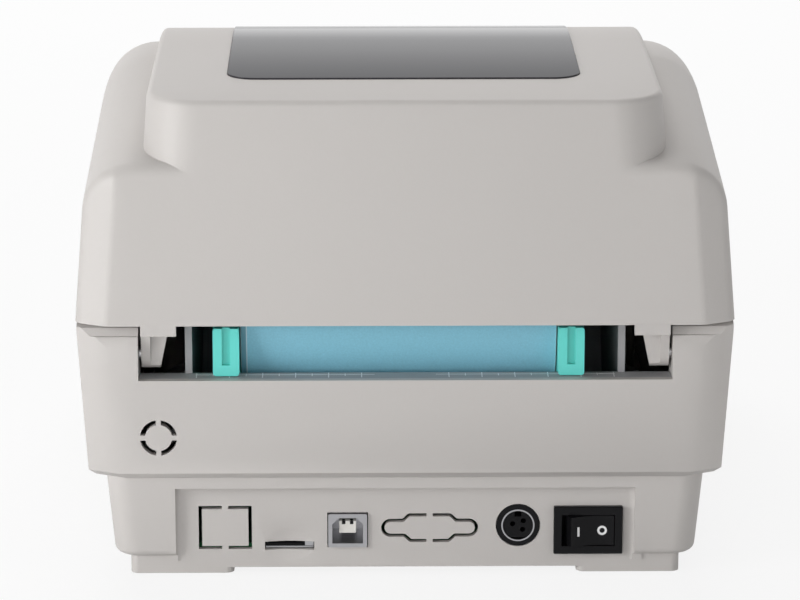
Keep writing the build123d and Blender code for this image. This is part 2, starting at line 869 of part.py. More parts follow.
# Top cover: wings and column in one shell, with a rebate and an opening for the window
with BuildPart() as top_cover:
    add(wing_body(0))
    add(column_body(0))
    add(wing_body(wall), mode=Mode.SUBTRACT)
    add(column_body(wall), mode=Mode.SUBTRACT)
    add(crown_layer(window_proud - window_thickness, 4 * window_proud, window_gap), mode=Mode.SUBTRACT)
    with BuildSketch(Plane.XY.offset(liner_z)):
        add(window_plan(-window_lip))
    extrude(amount=cover_top_z, mode=Mode.SUBTRACT)

    # Label exit in the front edge
    with Locations((0, front_y, seam_z - 1)):
        Box(
            2 * exit_half, 20, exit_top_z - seam_z + 1,
            align=(Align.CENTER, Align.CENTER, Align.MIN), mode=Mode.SUBTRACT,
        )

    # Hinge arms and the short tabs behind them
    for start in (-arm_outer, arm_inner):
        with BuildSketch(from_side(start)):
            with BuildLine():
                Polyline(
                    (hinge_y - hinge_boss_r, hinge_z),
                    (hinge_y - hinge_boss_r, seam_z + arm_root),
                    (rear_y - wall / 2, seam_z + arm_root),
                    (rear_y - wall / 2, seam_z),
                    (hinge_y + hinge_boss_r, hinge_z),
                    close=True,
                )
            make_face()
            with Locations((hinge_y, hinge_z)):
                Circle(hinge_boss_r)
        extrude(amount=arm_outer - arm_inner)
    for side in (-1, 1):
        with BuildSketch(from_rear(rear_y - wall)):
            with BuildLine():
                Polyline(
                    (side * (arm_inner - 1), seam_z - tab_drop),
                    (side * arm_inner, seam_z - tab_drop),
                    (side * arm_tip_inner, hinge_z - hinge_boss_r),
                    (side * (arm_inner - 1), hinge_z - hinge_boss_r),
                    close=True,
                )
            make_face()
        extrude(amount=4 * hinge_boss_r, mode=Mode.SUBTRACT)
        with Locations((side * (arm_outer - arm_flange), hinge_y + hinge_pin_r + 1, seam_z - tab_drop)):
            Box(
                2 * (arm_outer - arm_inner), 4 * hinge_boss_r, 4 * hinge_boss_r,
                align=(Align.MAX if side > 0 else Align.MIN, Align.MIN, Align.MAX), mode=Mode.SUBTRACT,
            )
        with Locations((side * (tab_inner + arm_outer) / 2, rear_y - wall / 2, seam_z - tab_drop)):
            Box(arm_outer - tab_inner, wall, tab_drop + 0.5, align=(Align.CENTER, Align.CENTER, Align.MIN))
        with Locations(Location((side * pin_inner, hinge_y, hinge_z), (0, 90 * side, 0))):
            Cylinder(
                hinge_pin_r + run_gap, width,
                align=(Align.CENTER, Align.CENTER, Align.MIN), mode=Mode.SUBTRACT,
            )
    add(liner_bosses.part)
top_cover.part.label = "top_cover"
export_step(top_cover.part, "parts/top_cover.step")

with BuildPart() as window:
    add(crown_layer(window_proud - window_thickness, window_proud, 0))
window.part.label = "window"
export_step(window.part, "parts/window.step")


# Pins on which the cover's arms turn, fixed in the ears of the middle case
with BuildPart() as hinge_pins:
    for side in (-1, 1):
        with Locations(Location((side * (pin_inner + slide_gap), hinge_y, hinge_z), (0, 90 * side, 0))):
            Cylinder(
                hinge_pin_r, slot_half + ear_depth - 2 - pin_inner - slide_gap,
                align=(Align.CENTER, Align.CENTER, Align.MIN),
            )
hinge_pins.part.label = "hinge_pins"
export_step(hinge_pins.part, "parts/hinge_pins.step")


# Media tray: a trough under the roll, the deck in front of it and the shelf in the rear slot
trough_r = roll_r + tray_gap


def deck_top(y):
    """Height of the deck's upper face, which rises from the trough to the print line."""
    share = (deck_start_y - y) / (deck_start_y - deck_knee_y)
    return deck_start_z + min(share, 1) * (deck_knee_z - deck_start_z)


with BuildPart() as media_tray:
    with BuildSketch(from_side(-tray_half)):
        with Locations((roll_y, roll_z)):
            Circle(trough_r + tray_wall)
            Circle(trough_r, mode=Mode.SUBTRACT)
        with Locations((roll_y, (deck_start_z + roll_z) / 2 + roll_r)):
            Rectangle(3 * trough_r, roll_z - deck_start_z + 2 * roll_r, mode=Mode.SUBTRACT)
        with Locations((tray_rear_y, slot_floor_z)):
            Rectangle(trough_r, trough_r, align=(Align.MIN, Align.MAX), mode=Mode.SUBTRACT)
            Rectangle(trough_r, 2 * trough_r, align=(Align.MIN, Align.MIN), mode=Mode.SUBTRACT)
        with BuildLine():
            Polyline(
                (deck_start_y, deck_start_z),
                (deck_knee_y, deck_knee_z),
                (deck_front_y, deck_knee_z),
                (deck_front_y, deck_knee_z - tray_wall),
                (deck_knee_y, deck_knee_z - tray_wall),
                (deck_start_y - 1, deck_start_z - tray_wall - 1),
                close=True,
            )
        make_face()
    extrude(amount=2 * tray_half)
    with BuildSketch(from_side(-slot_half + slide_gap / 2)):
        with Locations((tray_rear_y - shelf_root, slot_floor_z)):
            Rectangle(
                rear_y - skirt_wall - slide_gap / 2 - tray_rear_y + shelf_root, tray_wall,
                align=(Align.MIN, Align.MAX),
            )
    extrude(amount=2 * slot_half - slide_gap)
    for start in (-tray_half - tray_wall, tray_half):
        with BuildSketch(from_side(start)):
            with Locations((roll_y, roll_z)):
                Circle(trough_r + tray_wall)
            with Locations((roll_y, tray_top_z)):
                Rectangle(3 * trough_r, 2 * trough_r, align=(Align.CENTER, Align.MIN), mode=Mode.SUBTRACT)
            with Locations((tray_rear_y, slot_floor_z - tray_wall)):
                Rectangle(trough_r, 2 * trough_r, align=(Align.MIN, Align.MAX), mode=Mode.SUBTRACT)
                Rectangle(trough_r, 2 * trough_r, align=(Align.MIN, Align.MIN), mode=Mode.SUBTRACT)
        extrude(amount=tray_wall)

    # The deck narrows between the side frames of the mechanism
    for side in (-1, 1):
        with Locations((side * (frame_half - 1 + trough_r / 2), deck_front_y, deck_start_z - trough_r / 2)):
            Box(
                trough_r, deck_narrow_y - deck_front_y, trough_r + 20,
                align=(Align.CENTER, Align.MIN, Align.CENTER), mode=Mode.SUBTRACT,
            )

    # Slots for the feet of the guides and for the nose of the sensor
    for side, rack_y in ((1, guide_pinion_y + guide_pinion_r), (-1, guide_pinion_y - guide_pinion_r)):
        foot_mid_y = rack_y + side * (rack_root + rack_back) / 2
        slot_mid_x = media_x + side * (guide_gap + guide_plate + guide_travel) / 2
        with Locations((slot_mid_x, foot_mid_y, deck_start_z)):
            Box(
                guide_plate + guide_travel + 2 * slide_gap, rack_back - rack_root + 2 * slide_gap, 20,
                mode=Mode.SUBTRACT,
            )
    with Locations((media_x, sensor_y, deck_knee_z)):
        Box(
            2 * (sensor_travel + slide_gap) + sensor_nose_x, sensor_nose_y + 2 * slide_gap, 4 * tray_wall,
            mode=Mode.SUBTRACT,
        )

    # Boss for the pinion's stud, and brackets that rest on the flange of the middle case
    with BuildSketch(Plane.XY.offset(stud_head_z + rack_height + 1.3)):
        with Locations((media_x, guide_pinion_y)):
            Circle(2 * stud_r)
    extrude(amount=boss_top_z - stud_head_z - rack_height - 1.3)
    with Locations((media_x, guide_pinion_y, boss_top_z - 0.8)):
        Cylinder(stud_r, 2 * stud_r, align=(Align.CENTER, Align.CENTER, Align.MAX), mode=Mode.SUBTRACT)
    for y in tray_bracket_ys:
        with BuildSketch(from_rear(y + tray_bracket_width / 2)):
            for side in (-1, 1):
                with BuildLine():
                    Polyline(
                        (side * tray_half, tray_bracket_z + 13),
                        (side * (tray_screw_x - 6), tray_bracket_z + tray_bracket_thick),
                        (side * (tray_screw_x + 5), tray_bracket_z + tray_bracket_thick),
                        (side * (tray_screw_x + 5), tray_bracket_z),
                        (side * (tray_screw_x - 8), tray_bracket_z),
                        (side * tray_half, tray_bracket_z + 8),
                        close=True,
                    )
                make_face()
        extrude(amount=tray_bracket_width)
    with Locations(*[(x, y, 0) for x in (-tray_screw_x, tray_screw_x) for y in tray_bracket_ys]):
        Cylinder(screw_r, 2 * seam_z, mode=Mode.SUBTRACT)
media_tray.part.label = "media_tray"
export_step(media_tray.part, "parts/media_tray.step")


# Media guides: a plate, a hub for the core, the channelled block in the rear slot and a rack
def media_guide(side):
    """One guide with its rack; side is 1 for the guide at +X and -1 for the one at -X."""
    face_x = media_x + side * guide_gap / 2
    rack_y = guide_pinion_y + side * guide_pinion_r
    channel_x = face_x + side * guide_block / 2
    with BuildPart() as guide:
        with BuildSketch(from_side(face_x)):
            with Locations((roll_y, roll_z)):
                Circle(trough_r - guide_lift)
            with Locations((roll_y, guide_block_top)):
                Rectangle(3 * trough_r, 2 * trough_r, align=(Align.CENTER, Align.MIN), mode=Mode.SUBTRACT)
            with Locations((roll_y, roll_z)):
                Circle(guide_disc_r)
            with BuildLine():
                Polyline(
                    (deck_start_y + 12, guide_block_top),
                    (guide_front_y, guide_block_top),
                    (guide_front_y, deck_top(guide_front_y) + guide_lift),
                    (deck_start_y + 0.5, deck_start_z + guide_lift),
                    (deck_start_y + 12, deck_start_z + guide_lift),
                    close=True,
                )
            make_face()
        extrude(amount=side * guide_plate)
        with BuildSketch(from_rear(guide_rear_y)):
            with Locations((channel_x, (guide_block_top + slot_floor_z + slide_gap) / 2)):
                RectangleRounded(guide_block, guide_block_top - slot_floor_z - slide_gap, guide_round)
        extrude(amount=guide_rear_y - tray_rear_y + 1.5)
        with Locations((channel_x, guide_rear_y, guide_block_top)):
            Box(channel_width, 2 * channel_depth, 2 * channel_height, mode=Mode.SUBTRACT)
        with Locations(Location((face_x, roll_y, roll_z), (0, -90 * side, 0))):
            Cylinder(
                core_inner_r - slide_gap, guide_travel, align=(Align.CENTER, Align.CENTER, Align.MIN)
            )
            Cylinder(core_inner_r - slide_gap - 2 * tray_wall, 2 * (guide_travel - 1.5), mode=Mode.SUBTRACT)

        # Foot and rack under the deck
        foot_mid_y = rack_y + side * (rack_root + rack_back) / 2
        with Locations((face_x + side * guide_plate / 2, foot_mid_y, rack_z)):
            Box(
                guide_plate, rack_back - rack_root, guide_block_top - rack_z - 1,
                align=(Align.CENTER, Align.CENTER, Align.MIN),
            )
        pitch = pi * gear_module
        half_at_pitch = (pitch / 2 - gear_backlash) / 2
        tip_half = half_at_pitch - gear_module * tan(pressure_angle)
        root_half = half_at_pitch + rack_root * tan(pressure_angle)
        root_y = rack_y + side * rack_root
        back_y = rack_y + side * rack_back
        tip_y = rack_y - side * gear_module
        outline = [(face_x + side * guide_plate, root_y), (face_x + side * guide_plate, back_y)]
        outline += [(media_x - side * rack_reach, back_y), (media_x - side * rack_reach, root_y)]
        for tooth in range(-rack_teeth // 2, rack_teeth // 2):
            middle = media_x - side * pitch * (rack_first - tooth - 0.5)
            outline.append((middle - side * root_half, root_y))
            outline.append((middle - side * tip_half, tip_y))
            outline.append((middle + side * tip_half, tip_y))
            outline.append((middle + side * root_half, root_y))
        with BuildSketch(Plane.XY.offset(rack_z)):
            with BuildLine():
                Polyline(*outline, close=True)
            make_face()
        extrude(amount=rack_height)
    return guide.part


guide_left = media_guide(1)
guide_left.label = "guide_left"
export_step(guide_left, "parts/guide_left.step")
guide_right = media_guide(-1)
guide_right.label = "guide_right"
export_step(guide_right, "parts/guide_right.step")

with BuildPart() as guide_pinion:
    with BuildSketch(Plane.XY.offset(rack_z)):
        with Locations((media_x, guide_pinion_y)):
            add(gear_outline(guide_pinion_teeth, pi / 2))
            Circle(stud_r + run_gap, mode=Mode.SUBTRACT)
    extrude(amount=rack_height)
guide_pinion.part.label = "guide_pinion"
export_step(guide_pinion.part, "parts/guide_pinion.step")

with BuildPart() as pinion_post:
    with Locations((media_x, guide_pinion_y, stud_head_z)):
        Cylinder(stud_r, boss_top_z - 0.8 - stud_head_z, align=(Align.CENTER, Align.CENTER, Align.MIN))
        Cylinder(1.6 * stud_r, 1.2, align=(Align.CENTER, Align.CENTER, Align.MAX))
pinion_post.part.label = "pinion_post"
export_step(pinion_post.part, "parts/pinion_post.step")

roll_width = guide_gap - 2 * roll_side_gap
for name, outer, inner in (("label_roll", roll_r, core_outer_r), ("roll_core", core_outer_r, core_inner_r)):
    with BuildPart() as ring:
        with BuildSketch(from_side(media_x - roll_width / 2)):
            with Locations((roll_y, roll_z)):
                Circle(outer)
                Circle(inner, mode=Mode.SUBTRACT)
        extrude(amount=roll_width)
    ring.part.label = name
    export_step(ring.part, "parts/" + name + ".step")


# Side frames of the mechanism, folded from sheet steel
motor_place = (motor_y, motor_z)
platen_z = label_z - platen_r
platen_place = (platen_y, platen_z)
motor_to_platen = hypot(platen_y - motor_y, platen_z - motor_z)
motor_idler = gear_module * (pinion_teeth + idler_teeth) / 2
platen_idler = gear_module * (platen_teeth + idler_teeth) / 2
along = (motor_idler**2 - platen_idler**2 + motor_to_platen**2) / (2 * motor_to_platen)
across = sqrt(motor_idler**2 - along**2)
toward_y = (platen_y - motor_y) / motor_to_platen
toward_z = (platen_z - motor_z) / motor_to_platen
idler_y = motor_y + along * toward_y - across * toward_z
idler_z = motor_z + along * toward_z + across * toward_y
idler_place = (idler_y, idler_z)


def side_frame(side):
    """One side frame with its foot; the one at -X also carries the motor and the idler's stud."""
    foot_mid = (side * (frame_half - foot_flange / 2 + frame_wall / 2), (frame_front_y + frame_rear_y) / 2)
    with BuildPart() as frame:
        with BuildSketch(from_side(side * frame_half)):
            with BuildLine():
                Polyline(
                    (frame_front_y, base_floor_z),
                    (frame_rear_y, base_floor_z),
                    (frame_rear_y, frame_top_z - 3),
                    (frame_rear_y - 4, frame_top_z),
                    (frame_front_y, frame_top_z),
                    close=True,
                )
            make_face()
            with Locations(platen_place):
                Circle(bush_r, mode=Mode.SUBTRACT)
            with Locations((latch_y, latch_z)):
                Circle(latch_shaft_r + run_gap, mode=Mode.SUBTRACT)
            with Locations((sensor_y, sensor_z)):
                Circle(sensor_rod_r, mode=Mode.SUBTRACT)
            if side < 0:
                with Locations(motor_place):
                    Circle(motor_boss_r, mode=Mode.SUBTRACT)
                    with GridLocations(motor_screw_pitch, motor_screw_pitch, 2, 2):
                        Circle(screw_r, mode=Mode.SUBTRACT)
                with Locations(idler_place):
                    Circle(stud_r, mode=Mode.SUBTRACT)
            else:
                with Locations(motor_place):
                    RectangleRounded(motor_size, motor_size, 8, mode=Mode.SUBTRACT)
        extrude(amount=side * frame_wall)
        with BuildSketch(Plane.XY.offset(base_floor_z)):
            with Locations(foot_mid):
                Rectangle(foot_flange + frame_wall, frame_rear_y - frame_front_y)
            with Locations(*[(side * foot_screw_x, y) for y in frame_screw_ys]):
                Circle(screw_r, mode=Mode.SUBTRACT)
        extrude(amount=frame_wall)
    return frame.part


for side, name in ((1, "side_frame_left"), (-1, "side_frame_right")):
    frame = side_frame(side)
    frame.label = name
    export_step(frame, "parts/" + name + ".step")

with BuildPart() as platen_bushes:
    for start, flip in ((frame_half, -90), (-frame_half, 90)):
        with Locations(Location((start, platen_y, platen_z), (0, flip, 0))):
            Cylinder(bush_r, frame_wall + bush_flange, align=(Align.CENTER, Align.CENTER, Align.MAX))
            Cylinder(bush_r + bush_flange, bush_flange, align=(Align.CENTER, Align.CENTER, Align.MIN))
    with Locations(Location((0, platen_y, platen_z), (0, 90, 0))):
        Cylinder(platen_shaft_r + run_gap, width, mode=Mode.SUBTRACT)
platen_bushes.part.label = "platen_bushes"
export_step(platen_bushes.part, "parts/platen_bushes.step")


def rod(name, radius, place, ends):
    """A round bar along X between two ends, at a place given as Y and Z."""
    with BuildPart() as bar:
        with BuildSketch(from_side(ends[0])):
            with Locations(place):
                Circle(radius)
        extrude(amount=ends[1] - ends[0])
        chamfer(bar.edges(), radius / 8)
    bar.part.label = name
    export_step(bar.part, "parts/" + name + ".step")


rod("platen_shaft", platen_shaft_r, platen_place, (gear_x - gear_width, frame_half + 2 * frame_wall))
rod("sensor_rail", sensor_rod_r, (sensor_y, sensor_z), (-frame_half - frame_wall, frame_half + frame_wall))
rod("latch_shaft", latch_shaft_r, (latch_y, latch_z), (-latch_shaft_end, latch_shaft_end))
rod("motor_shaft", motor_shaft_r, motor_place, (gear_x - gear_width, motor_shaft_end))
rod("head_pivot", head_pivot_r, (head_pivot_y, head_pivot_z), (-head_pivot_end, head_pivot_end))

with BuildPart() as platen_rubber:
    with BuildSketch(from_side(-platen_half)):
        with Locations(platen_place):
            Circle(platen_r)
            Circle(platen_shaft_r, mode=Mode.SUBTRACT)
    extrude(amount=2 * platen_half)
platen_rubber.part.label = "platen_rubber"
export_step(platen_rubber.part, "parts/platen_rubber.step")

# Gear train: the idler has a tooth towards the motor, and its neighbours have gaps there
idler_to_motor = atan2(motor_z - idler_z, motor_y - idler_y)
idler_to_platen = atan2(platen_z - idler_z, platen_y - idler_y)
idler_pitch = 2 * pi / idler_teeth
tooth_offset = (idler_to_motor - idler_to_platen + idler_pitch / 2) % idler_pitch - idler_pitch / 2
motor_phase = idler_to_motor + pi + pi / pinion_teeth
platen_phase = idler_to_platen + pi - tooth_offset * idler_teeth / platen_teeth + pi / platen_teeth
for name, teeth, place, phase, bore in (
    ("motor_pinion", pinion_teeth, motor_place, motor_phase, motor_shaft_r),
    ("idler_gear", idler_teeth, idler_place, idler_to_motor, stud_r + run_gap),
    ("platen_gear", platen_teeth, platen_place, platen_phase, platen_shaft_r),
):
    with BuildPart() as gear:
        with BuildSketch(from_side(gear_x - gear_width / 2)):
            with Locations(place):
                add(gear_outline(teeth, phase))
                Circle(bore, mode=Mode.SUBTRACT)
        extrude(amount=gear_width)
        if teeth == idler_teeth:
            with BuildSketch(from_side(gear_x - gear_width / 2)):
                with Locations(place):
                    Circle(idler_web_outer)
                    Circle(idler_web_inner, mode=Mode.SUBTRACT)
            extrude(amount=gear_width / 3, mode=Mode.SUBTRACT)
    gear.part.label = name
    export_step(gear.part, "parts/" + name + ".step")

with BuildPart() as idler_post:
    spacer_end = gear_x + gear_width / 2 + slide_gap / 2
    with BuildSketch(from_side(spacer_end)):
        with Locations(idler_place):
            Circle(1.2 * stud_r)
    extrude(amount=-frame_half - frame_wall - spacer_end)
    with BuildSketch(from_side(gear_x - gear_width / 2 - slide_gap)):
        with Locations(idler_place):
            Circle(stud_r)
    extrude(amount=-frame_half - gear_x + gear_width / 2 + slide_gap)
    with BuildSketch(from_side(gear_x - gear_width / 2 - slide_gap)):
        with Locations(idler_place):
            Circle(1.6 * stud_r)
    extrude(amount=-1.2)
idler_post.part.label = "idler_post"
export_step(idler_post.part, "parts/idler_post.step")

with BuildPart() as stepper_motor:
    with BuildSketch(from_side(-frame_half)) as motor_end:
        with Locations(motor_place):
            Rectangle(motor_size, motor_size)
        chamfer(motor_end.vertices(), motor_size / 9)
        with Locations(motor_place):
            with GridLocations(motor_screw_pitch, motor_screw_pitch, 2, 2):
                Circle(screw_r, mode=Mode.SUBTRACT)
    extrude(amount=motor_length)
    for middle in (motor_cap, motor_length - motor_cap):
        with BuildSketch(from_side(-frame_half + middle)):
            with Locations(motor_place):
                Rectangle(motor_size + 1, motor_size + 1)
                Rectangle(motor_size - 1, motor_size - 1, mode=Mode.SUBTRACT)
        extrude(amount=motor_groove, both=True, mode=Mode.SUBTRACT)
    with BuildSketch(from_side(-frame_half)):
        with Locations(motor_place):
            Circle(motor_boss_r)
    extrude(amount=-frame_wall)
    with BuildSketch(from_side(-frame_half - frame_wall)):
        with Locations(motor_place):
            Circle(motor_shaft_r + run_gap)
    extrude(amount=motor_shaft_end + frame_half + frame_wall + slide_gap, mode=Mode.SUBTRACT)
stepper_motor.part.label = "stepper_motor"
export_step(stepper_motor.part, "parts/stepper_motor.step")


# Latch: two hooks and two side tabs on one shaft, with a torsion spring
def on_latch(name, inner_x, thickness, points):
    """A pair of like levers on the latch's shaft, outlined in Y and Z about the shaft's axis."""
    with BuildPart() as levers:
        for start in (inner_x, -inner_x - thickness):
            with BuildSketch(from_side(start)):
                with Locations((latch_y, latch_z)):
                    Circle(lever_hub_r)
                with BuildLine():
                    Polyline(*[(latch_y + y, latch_z + z) for y, z in points], close=True)
                make_face()
                with Locations((latch_y, latch_z)):
                    Circle(latch_shaft_r, mode=Mode.SUBTRACT)
            extrude(amount=thickness)
        if name == "release_tabs":
            for start in (inner_x + thickness - 0.5, -inner_x - thickness + 0.5 - tab_depth):
                with BuildSketch(from_side(start)):
                    with Locations((latch_y, tab_z)):
                        RectangleRounded(tab_length, tab_height, 2)
                extrude(amount=tab_depth)
    levers.part.label = name
    export_step(levers.part, "parts/" + name + ".step")


hook_rise = catch_z - latch_z
on_latch(
    "latch_hooks",
    hook_x - hook_width / 2,
    hook_width,
    (
        (2.5, 0),
        (2.5, hook_rise + 5),
        (-4, hook_rise + 5),
        (-7, hook_rise + 3.2),
        (-7, hook_rise + catch_r + slide_gap),
        (-2.5, hook_rise + catch_r + slide_gap),
        (-2.5, 0),
    ),
)
on_latch(
    "release_tabs",
    latch_shaft_end - hook_width,
    hook_width,
    ((3.5, 0), (4.5, tab_z - latch_z), (-4.5, tab_z - latch_z), (-3.5, 0)),
)

with BuildPart() as latch_spring:
    coil_r = latch_shaft_r + spring_wire + slide_gap
    with BuildLine():
        coil = Helix(pitch=4 * spring_wire, height=4 * spring_wire * spring_turns, radius=coil_r)
    with BuildSketch(Plane(coil @ 0, z_dir=coil % 0)):
        Circle(spring_wire)
    sweep(is_frenet=True)
latch_spring = Location((latch_spring_x, latch_y, latch_z), (0, 90, 0)) * latch_spring.part
latch_spring.label = "latch_spring"
export_step(latch_spring, "parts/latch_spring.step")


# Mechanism plate in the cover, with the head, its springs, the catches and the upper sensor
with BuildPart() as cover_liner:
    with BuildSketch(Plane.XY.offset(liner_z)):
        with Locations((0, (liner_front_y + liner_rear_y) / 2)):
            RectangleRounded(2 * liner_half, liner_rear_y - liner_front_y, 4)
        with Locations(*liner_screw_places):
            Circle(screw_r, mode=Mode.SUBTRACT)
    extrude(amount=liner_thickness)
    for start in (-ear_out, ear_in):
        with BuildSketch(from_side(start)):
            with BuildLine():
                Polyline(
                    (catch_y - 6, liner_z + 1),
                    (catch_y - 6, catch_z - 2),
                    (catch_y - 3, catch_z - 5),
                    (catch_y + 5, catch_z - 5),
                    (head_pivot_y + 8, liner_z + 1),
                    close=True,
                )
            make_face()
            with Locations((catch_y, catch_z)):
                Circle(catch_r, mode=Mode.SUBTRACT)
            with Locations((head_pivot_y, head_pivot_z)):
                Circle(head_pivot_r, mode=Mode.SUBTRACT)
        extrude(amount=ear_out - ear_in)
    with Locations((switch_rib_x, switch_rib_y, liner_z + 1)):
        Box(3, 6, liner_z + 1 - switch_lever_z - slide_gap, align=(Align.CENTER, Align.CENTER, Align.MAX))
    for y in (head_rear + 8, liner_rear_y - 14):
        with Locations((0, y, liner_z + 1)):
            Box(2 * head_half, 2, 5, align=(Align.CENTER, Align.CENTER, Align.MAX))
cover_liner.part.label = "cover_liner"
export_step(cover_liner.part, "parts/cover_liner.step")

with BuildPart() as catch_pins:
    for start, flip in ((ear_in, 90), (-ear_in, -90)):
        with Locations(Location((start, catch_y, catch_z), (0, flip, 0))):
            Cylinder(catch_r, hook_x + hook_width - ear_in, align=(Align.CENTER, Align.CENTER, Align.MIN))
catch_pins.part.label = "catch_pins"
export_step(catch_pins.part, "parts/catch_pins.step")

ceramic_z = label_z + head_gap
heatsink_z = ceramic_z + ceramic_thickness
bracket_z = heatsink_z + heatsink_height
with BuildPart() as head_ceramic:
    with Locations((0, (head_front + 2 + head_rear - 4) / 2, ceramic_z)):
        Box(
            2 * head_half - 2, head_rear - 4 - head_front - 2, ceramic_thickness,
            align=(Align.CENTER, Align.CENTER, Align.MIN),
        )
head_ceramic.part.label = "head_ceramic"
export_step(head_ceramic.part, "parts/head_ceramic.step")

with BuildPart() as print_head:
    with Locations((0, (head_front + head_rear) / 2, heatsink_z)):
        Box(
            2 * head_half, head_rear - head_front, heatsink_height,
            align=(Align.CENTER, Align.CENTER, Align.MIN),
        )
    for share in (0.3, 0.7):
        with Locations((0, head_front, heatsink_z + heatsink_height * share)):
            Box(3 * head_half, 5, 1, mode=Mode.SUBTRACT)
print_head.part.label = "print_head"
export_step(print_head.part, "parts/print_head.step")

with BuildPart() as head_bracket:
    with BuildSketch(Plane.XY.offset(bracket_z)):
        with Locations((0, (head_front + 2 + bracket_rear_y) / 2)):
            Rectangle(2 * head_half, bracket_rear_y - head_front - 2)
        with Locations((0, bracket_rear_y)):
            Rectangle(2 * bracket_half, 14, align=(Align.CENTER, Align.MAX))
        with Locations((0, (head_rear + bracket_rear_y) / 2)):
            SlotOverall(head_half, 8, mode=Mode.SUBTRACT)
    extrude(amount=bracket_thickness)
    for start in (-bracket_half, bracket_half - 2 * bracket_thickness):
        with BuildSketch(from_side(start)):
            with Locations((head_pivot_y, bracket_z)):
                Rectangle(7, head_pivot_z - bracket_z, align=(Align.CENTER, Align.MIN))
            with Locations((head_pivot_y, head_pivot_z)):
                Circle(3.5)
                Circle(head_pivot_r + run_gap, mode=Mode.SUBTRACT)
        extrude(amount=2 * bracket_thickness)
head_bracket.part.label = "head_bracket"
export_step(head_bracket.part, "parts/head_bracket.step")

spring_low = bracket_z + bracket_thickness + spring_wire + 0.05
spring_height = liner_z - spring_wire - 0.05 - spring_low
with BuildPart() as one_spring:
    with BuildLine():
        coil = Helix(pitch=spring_height / spring_turns, height=spring_height, radius=spring_r)
    with BuildSketch(Plane(coil @ 0, z_dir=coil % 0)):
        Circle(spring_wire)
    sweep(is_frenet=True)
with BuildPart() as head_springs:
    with Locations((-spring_x, head_spring_y, spring_low), (spring_x, head_spring_y, spring_low)):
        add(one_spring.part)
head_springs.part.label = "head_springs"
export_step(head_springs.part, "parts/head_springs.step")

with BuildPart() as upper_sensor:
    with Locations((media_x, sensor_y, liner_z)):
        Box(
            2 * sensor_nose_x, 10, liner_z - deck_knee_z - 2.5,
            align=(Align.CENTER, Align.CENTER, Align.MAX),
        )
    fillet(upper_sensor.edges().filter_by(Axis.Z), 1.5)
upper_sensor.part.label = "upper_sensor"
export_step(upper_sensor.part, "parts/upper_sensor.step")

with BuildPart() as sensor_carriage:
    with BuildSketch(from_side(media_x - sensor_block / 2)):
        with Locations((sensor_y, sensor_z - 5)):
            Rectangle(10, deck_knee_z - tray_wall - 2 - sensor_z + 5, align=(Align.CENTER, Align.MIN))
        with Locations((sensor_y, sensor_z)):
            Circle(sensor_rod_r + run_gap, mode=Mode.SUBTRACT)
    extrude(amount=sensor_block)
    with Locations((media_x, sensor_y, deck_knee_z - 0.8)):
        Box(sensor_nose_x, sensor_nose_y, tray_wall + 2, align=(Align.CENTER, Align.CENTER, Align.MAX))
sensor_carriage.part.label = "sensor_carriage"
export_step(sensor_carriage.part, "parts/sensor_carriage.step")


# Front: bezel with the tear bar, the feed button, its board and the lamp
with BuildPart() as front_bezel:
    bezel_outer = bezel_half - slide_gap
    lip_y = frame_front_y - 0.5
    with BuildSketch(from_side(-bezel_outer)):
        with BuildLine():
            Polyline(
                (front_y, bezel_low_z + slide_gap),
                (front_y + bezel_thickness, bezel_low_z + slide_gap),
                (front_y + bezel_thickness, tear_z - 3),
                (lip_y, tear_z - 2),
                (lip_y, tear_z),
                (tear_front_y - 1, tear_z),
                (front_y, tear_z - 4.5),
                close=True,
            )
        make_face()
    extrude(amount=2 * bezel_outer)
    with Locations((0, front_y + bezel_thickness - slide_gap, bezel_low_z - 3)):
        Box(
            2 * bezel_half + 6, 2, tear_z - 8 - bezel_low_z, align=(Align.CENTER, Align.MIN, Align.MIN)
        )
front_bezel.part.label = "front_bezel"
export_step(front_bezel.part, "parts/front_bezel.step")

with BuildPart() as tear_bar:
    tear_half = platen_half + 1
    points = [(tear_half, lip_y), (-tear_half, lip_y)]
    count = int(2 * tear_half / tear_tooth)
    for tooth in range(count):
        x = -tear_half + 2 * tear_half * tooth / count
        points += [(x, tear_front_y + 1), (x + tear_half / count, tear_front_y)]
    points.append((tear_half, tear_front_y + 1))
    with BuildSketch(Plane.XY.offset(tear_z)):
        with BuildLine():
            Polyline(*points, close=True)
        make_face()
    extrude(amount=1.2)
tear_bar.part.label = "tear_bar"
export_step(tear_bar.part, "parts/tear_bar.step")

inner_front_y = front_y + skirt_wall
with BuildPart() as feed_button:
    with Locations(Location((button_x, front_y - button_proud, button_z), (-90, 0, 0))):
        Cylinder(
            button_r, skirt_wall + button_proud + slide_gap,
            align=(Align.CENTER, Align.CENTER, Align.MIN),
        )
    fillet(feed_button.faces().sort_by(Axis.Y)[0].edges(), 0.6)
    with Locations(Location((button_x, inner_front_y + slide_gap / 2, button_z), (-90, 0, 0))):
        Cylinder(button_r + 1.5, 1.5, align=(Align.CENTER, Align.CENTER, Align.MIN))
        Cylinder(2, button_stem, align=(Align.CENTER, Align.CENTER, Align.MIN))
feed_button.part.label = "feed_button"
export_step(feed_button.part, "parts/feed_button.step")

with BuildPart() as button_board:
    with BuildSketch(from_rear(button_board_y)):
        with Locations((button_x, (button_z + lamp_z) / 2 - 1)):
            Rectangle(20, 28)
        with Locations(*button_board_screws):
            Circle(screw_r, mode=Mode.SUBTRACT)
    extrude(amount=-button_board_thickness)
    stem_end_y = inner_front_y + slide_gap / 2 + button_stem
    with Locations((button_x, button_board_y, button_z)):
        Box(
            6, button_board_y - stem_end_y - button_travel - 0.1, 6,
            align=(Align.CENTER, Align.MAX, Align.CENTER),
        )
button_board.part.label = "button_board"
export_step(button_board.part, "parts/button_board.step")

